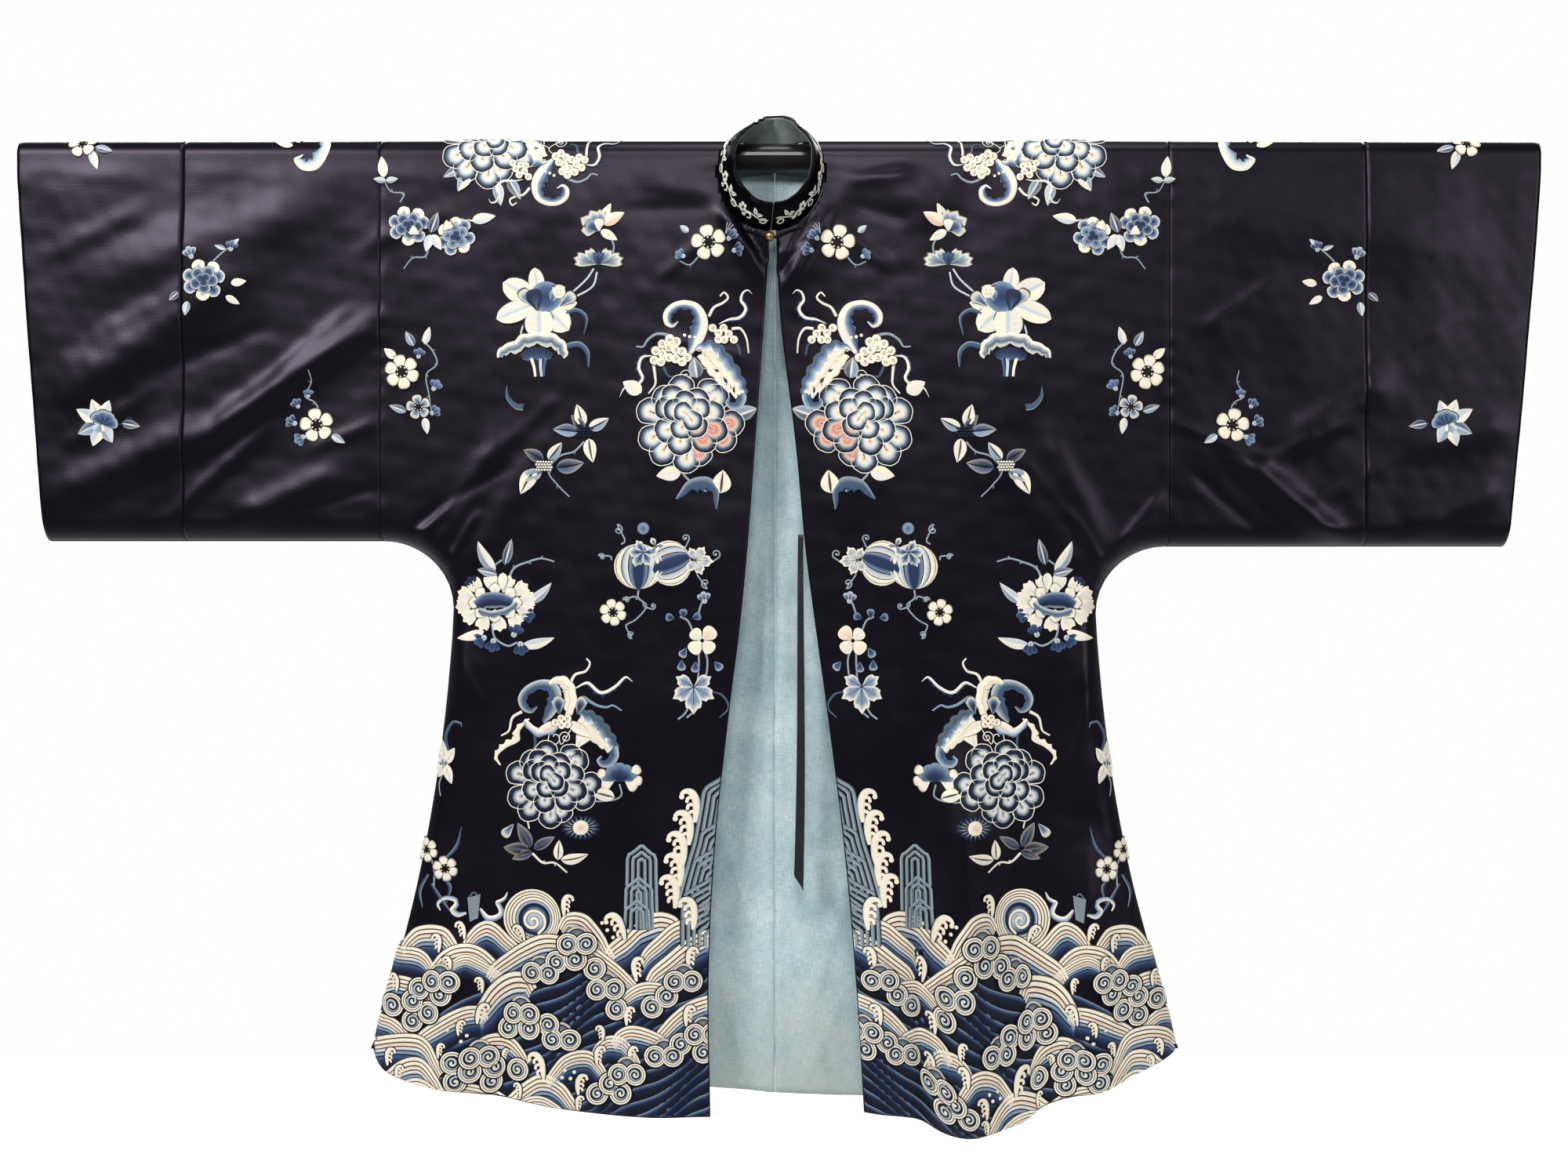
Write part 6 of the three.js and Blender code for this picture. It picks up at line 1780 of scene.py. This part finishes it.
def crest(pen, a, down, height, turn, hand, lift):
    """A breaking crest: a broad cream body that narrows into a hook, with small knobbed fingers down its
    inner side."""
    size = height / 38
    inner = pen.at(a, -down, turn)

    def placed(points):
        return [(hand * x * size, y * size) for x, y in points]

    body = placed([(6, -26), (7, -17), (7.5, -8), (6.5, 1), (2, 8), (-4, 9.5), (-8.5, 7), (-9, 3)])
    widths = np.array([4, 7.5, 8.5, 9, 8.5, 6, 4.8, 4.2]) * size
    foam = [(hand * t, shade, rise) for t, shade, rise in PROFILES["foam"]][::hand]
    band(inner, body, widths + 2, PROFILES["under"], lift=lift, count=20)
    band(inner, body, widths, foam, lift=lift + 0.1, count=20)
    for x, y in ((-3.2, -2), (-2.6, -10), (-1.2, -18)):
        finger = placed([(x + 9, y + 3), (x + 4, y + 4.5), (x + 0.8, y + 3), (x, y)])
        line(inner, finger, 3.8 * size, "cream", lift + 0.12, count=12, rise=0.32)
        disc(inner, *finger[-1], 2.1 * size, [(0, "cream"), (0.8, "cream"), (1, "peach")], lift + 0.15, 0.3,
             9)
    disc(inner, *body[-1], 3 * size, [(0, "cream"), (0.8, "cream"), (1, "peach")], lift + 0.2, 0.3, 10)


def ground(pen, left, right, b, lift):
    """A dark ground between two outlines that run level with one another, in a fine grid that follows the
    cloth."""
    at = np.linspace(0, len(b) - 1, 26)
    left, right, b = (np.interp(at, np.arange(len(b)), row)[:, None] for row in (left, right, b))
    share = np.linspace(0, 1, 12)[None, :]
    pen.lay(left + (right - left) * share, b + 0 * share, lift, SILK["ink"])


def rock_peak(pen, a, down, half, high, rows, lift):
    """A pointed rock: ridges nested one inside another, each rising straight, then slanting to its point."""
    for k in range(rows):
        wide = half - 6 * k - 2.6
        top, foot = -down - 7.2 * k, -down - high
        shoulder = top - 0.8 * wide
        left = np.array([a - wide * 1.12, a - wide, a])
        rise = np.array([foot, shoulder, top])
        ground(pen, left, 2 * a - left, rise, lift + 0.06 * k)
        path = [*zip(left, rise), *zip(2 * a - left[1::-1], rise[1::-1])]
        band(pen, straight(path), [5.6], PROFILES["rock"], lift=lift + 0.06 * k + 0.03, count=26)


def straight(path, each=4):
    """A path's points with more of them between, so that a smooth curve through them keeps its corners."""
    path = np.asarray(path, float)
    at = np.linspace(0, len(path) - 1, (len(path) - 1) * each + 1)
    return np.stack([np.interp(at, np.arange(len(path)), path[:, k]) for k in range(2)], -1)


def sea_border(work):
    """The whole border, from what lies deepest to what lies on top."""
    sea = Pen(work, SEA["out"], SEA["drop"], lift=0.25)
    for k in range(30):
        a = np.linspace(20, 440, 36)
        b = -(78 + 13.2 * k) + 0.6 * (a - 300) + 5 * np.sin(a / 17 + k * 0.5)
        b = np.clip(b, -330, -112)
        band(sea, np.stack([a, b], -1), [13.4], PROFILES["stripe"], lift=0.05, count=60)
    rock_peak(sea, 341, -1, 18, 92, 3, 0.1)
    rock_peak(sea, 338, 35, 16.5, 56, 3, 0.35)
    rock_peak(sea, 336, 60, 15, 32, 2, 0.6)
    ridge = [(down, a) for a, down in ROCK_RIDGE]
    for tier, high in enumerate(ROCK_TIERS):
        for k in range(7):
            top, foot = high + 7 * k, high + 60
            start = curve(ridge, np.array(top + 18.0)) + 6.2 + 6.2 * k
            corner = top + 0.48 * (444 - start)
            if start > 436 or corner > foot - 6:
                break
            fall = np.linspace(corner + 4, foot, 4)
            bends = curve(ridge, fall) + 6.2 + 6.2 * k
            a = np.r_[444, start + 4, bends]
            b = -np.r_[top, corner, fall]
            if k == 0:
                ground(sea, a, a * 0 + 446, b, 0.1 + 0.2 * tier)
            band(sea, straight(np.stack([a, b], -1), 3), [6.2], PROFILES["rock"], lift=0.13 + 0.2 * tier,
                 count=24)
    band(sea, [(a, -down) for a, down in ROCK_RIDGE], [6.2], PROFILES["rock"], lift=1.05, count=36)
    for a, down, height in ROCK_CRESTS:
        crest(sea, a, down, height, 0, 1, 1.15)
    s, turn = np.meshgrid([stop[0] for stop in ROLL], np.linspace(0, 2 * np.pi, 33), indexing="ij")
    shift = 5 * (1 - s)
    sea.lay(220 + 32.5 * s * np.cos(turn) + shift, -79 + 32.5 * s * np.sin(turn) - shift * 0.3,
            0.3 + 0.6 * (1 - s**2), shades(ROLL, s))
    line(sea.at(221, -82), spiral(1.6, 15, 2.6, -1), 5.0, "ink", 0.95, taper=0.2, count=44, rise=0.1)
    line(sea.at(221, -82), spiral(1.6, 15, 2.6, -1), 3.6, "cream", 1.0, taper=0.2, count=44)
    for tier, depth, crown in BILLOWS:
        (a1, d1), (a2, d2) = crown[0], crown[-1]
        path = [(a1 - 7, d1 + 13), *crown, (a2 + 7, d2 + 13)]
        band(sea, [(a, -down) for a, down in path], np.array([0.75, 1, 1.1, 1, 0.8]) * depth * SEA["reach"],
             PROFILES["billow"], lift=0.3 + SEA["tier"] * tier, count=30, sink=0.75)
    for a, down, height, turn, hand in CRESTS:
        crest(sea, a, down, height * 1.1, turn, hand, SEA["crests"])
    for a, down in FOAM:
        disc(sea, a, -down, 2.3, [(0, "cream"), (0.8, "cream"), (1, "ink")], 1.8, 0.4, 8)
    for k, curls in enumerate(CLOUDS):
        cloud(sea, curls, SEA["clouds"] + 0.02 * k)


for face in ("front", "back"):
    for side, word in ((RIGHT, "right"), (LEFT, "left")):
        work = Work()
        sea_border(work)
        waves = lay_on_cloth(f"waves_{face}_{word}", work, side, face, floss)

# The room: a flat pale floor, greyer in front so that the satin stays dark above it, in a white studio, with
# soft lamps. The strongest stands high on the left, and one at each side lights the floor and the coat's
# back.
FLOOR = -1.32
x, y = np.meshgrid(np.linspace(-3.4, 3.4, 2), np.linspace(-3.6, 1.2, 2), indexing="ij")
floor_corners = np.stack([x, y, FLOOR + 0 * x], -1).reshape(-1, 3) / MM
paper, nodes, links, surface = shader("studio_paper", Roughness=0.9)
where = add_node(nodes, "ShaderNodeTexCoord")
split = add_node(nodes, "ShaderNodeSeparateXYZ")
depth = add_node(nodes, "ShaderNodeMapRange", From_Min=-0.9, From_Max=0.35)
tone = ramp(nodes, rgb(138, 138, 142), rgb(248, 248, 248))
wire(links, [
    (where, "Object", split, "Vector"), (split, "Y", depth, "Value"), (depth, "Result", tone, "Fac"),
    (tone, "Color", surface, "Base Color"),
])
room = build_mesh("studio_floor", floor_corners, [(0, 2, 3, 1)], [paper])
world = bpy.data.worlds.new("studio")
world.use_nodes = True
nodes, links = world.node_tree.nodes, world.node_tree.links
nodes["Background"].inputs["Color"].default_value = (1, 1, 1, 1)
seen = add_node(nodes, "ShaderNodeLightPath")
glow = add_node(nodes, "ShaderNodeMapRange", To_Min=0.12, To_Max=1.0)
links.new(seen.outputs["Is Camera Ray"], glow.inputs["Value"])
links.new(glow.outputs["Result"], nodes["Background"].inputs["Strength"])
bpy.context.scene.world = world
for name, spot, aim, size, power in (
    ("key", (-2.0, -2.5, 1.5), (0, 0, -0.45), 1.0, 88),
    ("fill", (2.7, -2.5, 0.5), (0, 0, -0.5), 1.6, 32),
    ("front", (0.0, -2.9, 1.25), (0, 0, -0.5), 0.7, 32),
    ("crown", (0.2, -0.5, 2.2), (0, 0, -0.3), 1.3, 24),
    ("rear_left", (-2.0, 2.4, 1.3), (-0.2, 0.7, -1.3), 1.6, 85),
    ("rear_right", (2.0, 2.4, 1.3), (0.3, 0.7, -1.3), 1.6, 100),
):
    lamp = bpy.data.lights.new(name, "AREA")
    lamp.size = size
    lamp.energy = power
    lit = bpy.data.objects.new(name, lamp)
    bpy.context.scene.collection.objects.link(lit)
    lit.location = spot
    target = np.array(aim) - np.array(spot)
    lit.rotation_euler = Vector(target.tolist()).to_track_quat("-Z", "Y").to_euler()

camera = bpy.data.objects.new("camera", bpy.data.cameras.new("camera"))
camera.data.lens = 41.2
camera.data.shift_y = -0.0012
camera.location = (0.0105, -2.02, -0.4814)
camera.rotation_euler = (np.pi / 2, 0, 0)
bpy.context.scene.collection.objects.link(camera)
bpy.context.scene.camera = camera
bpy.context.scene.view_settings.view_transform = "Standard"
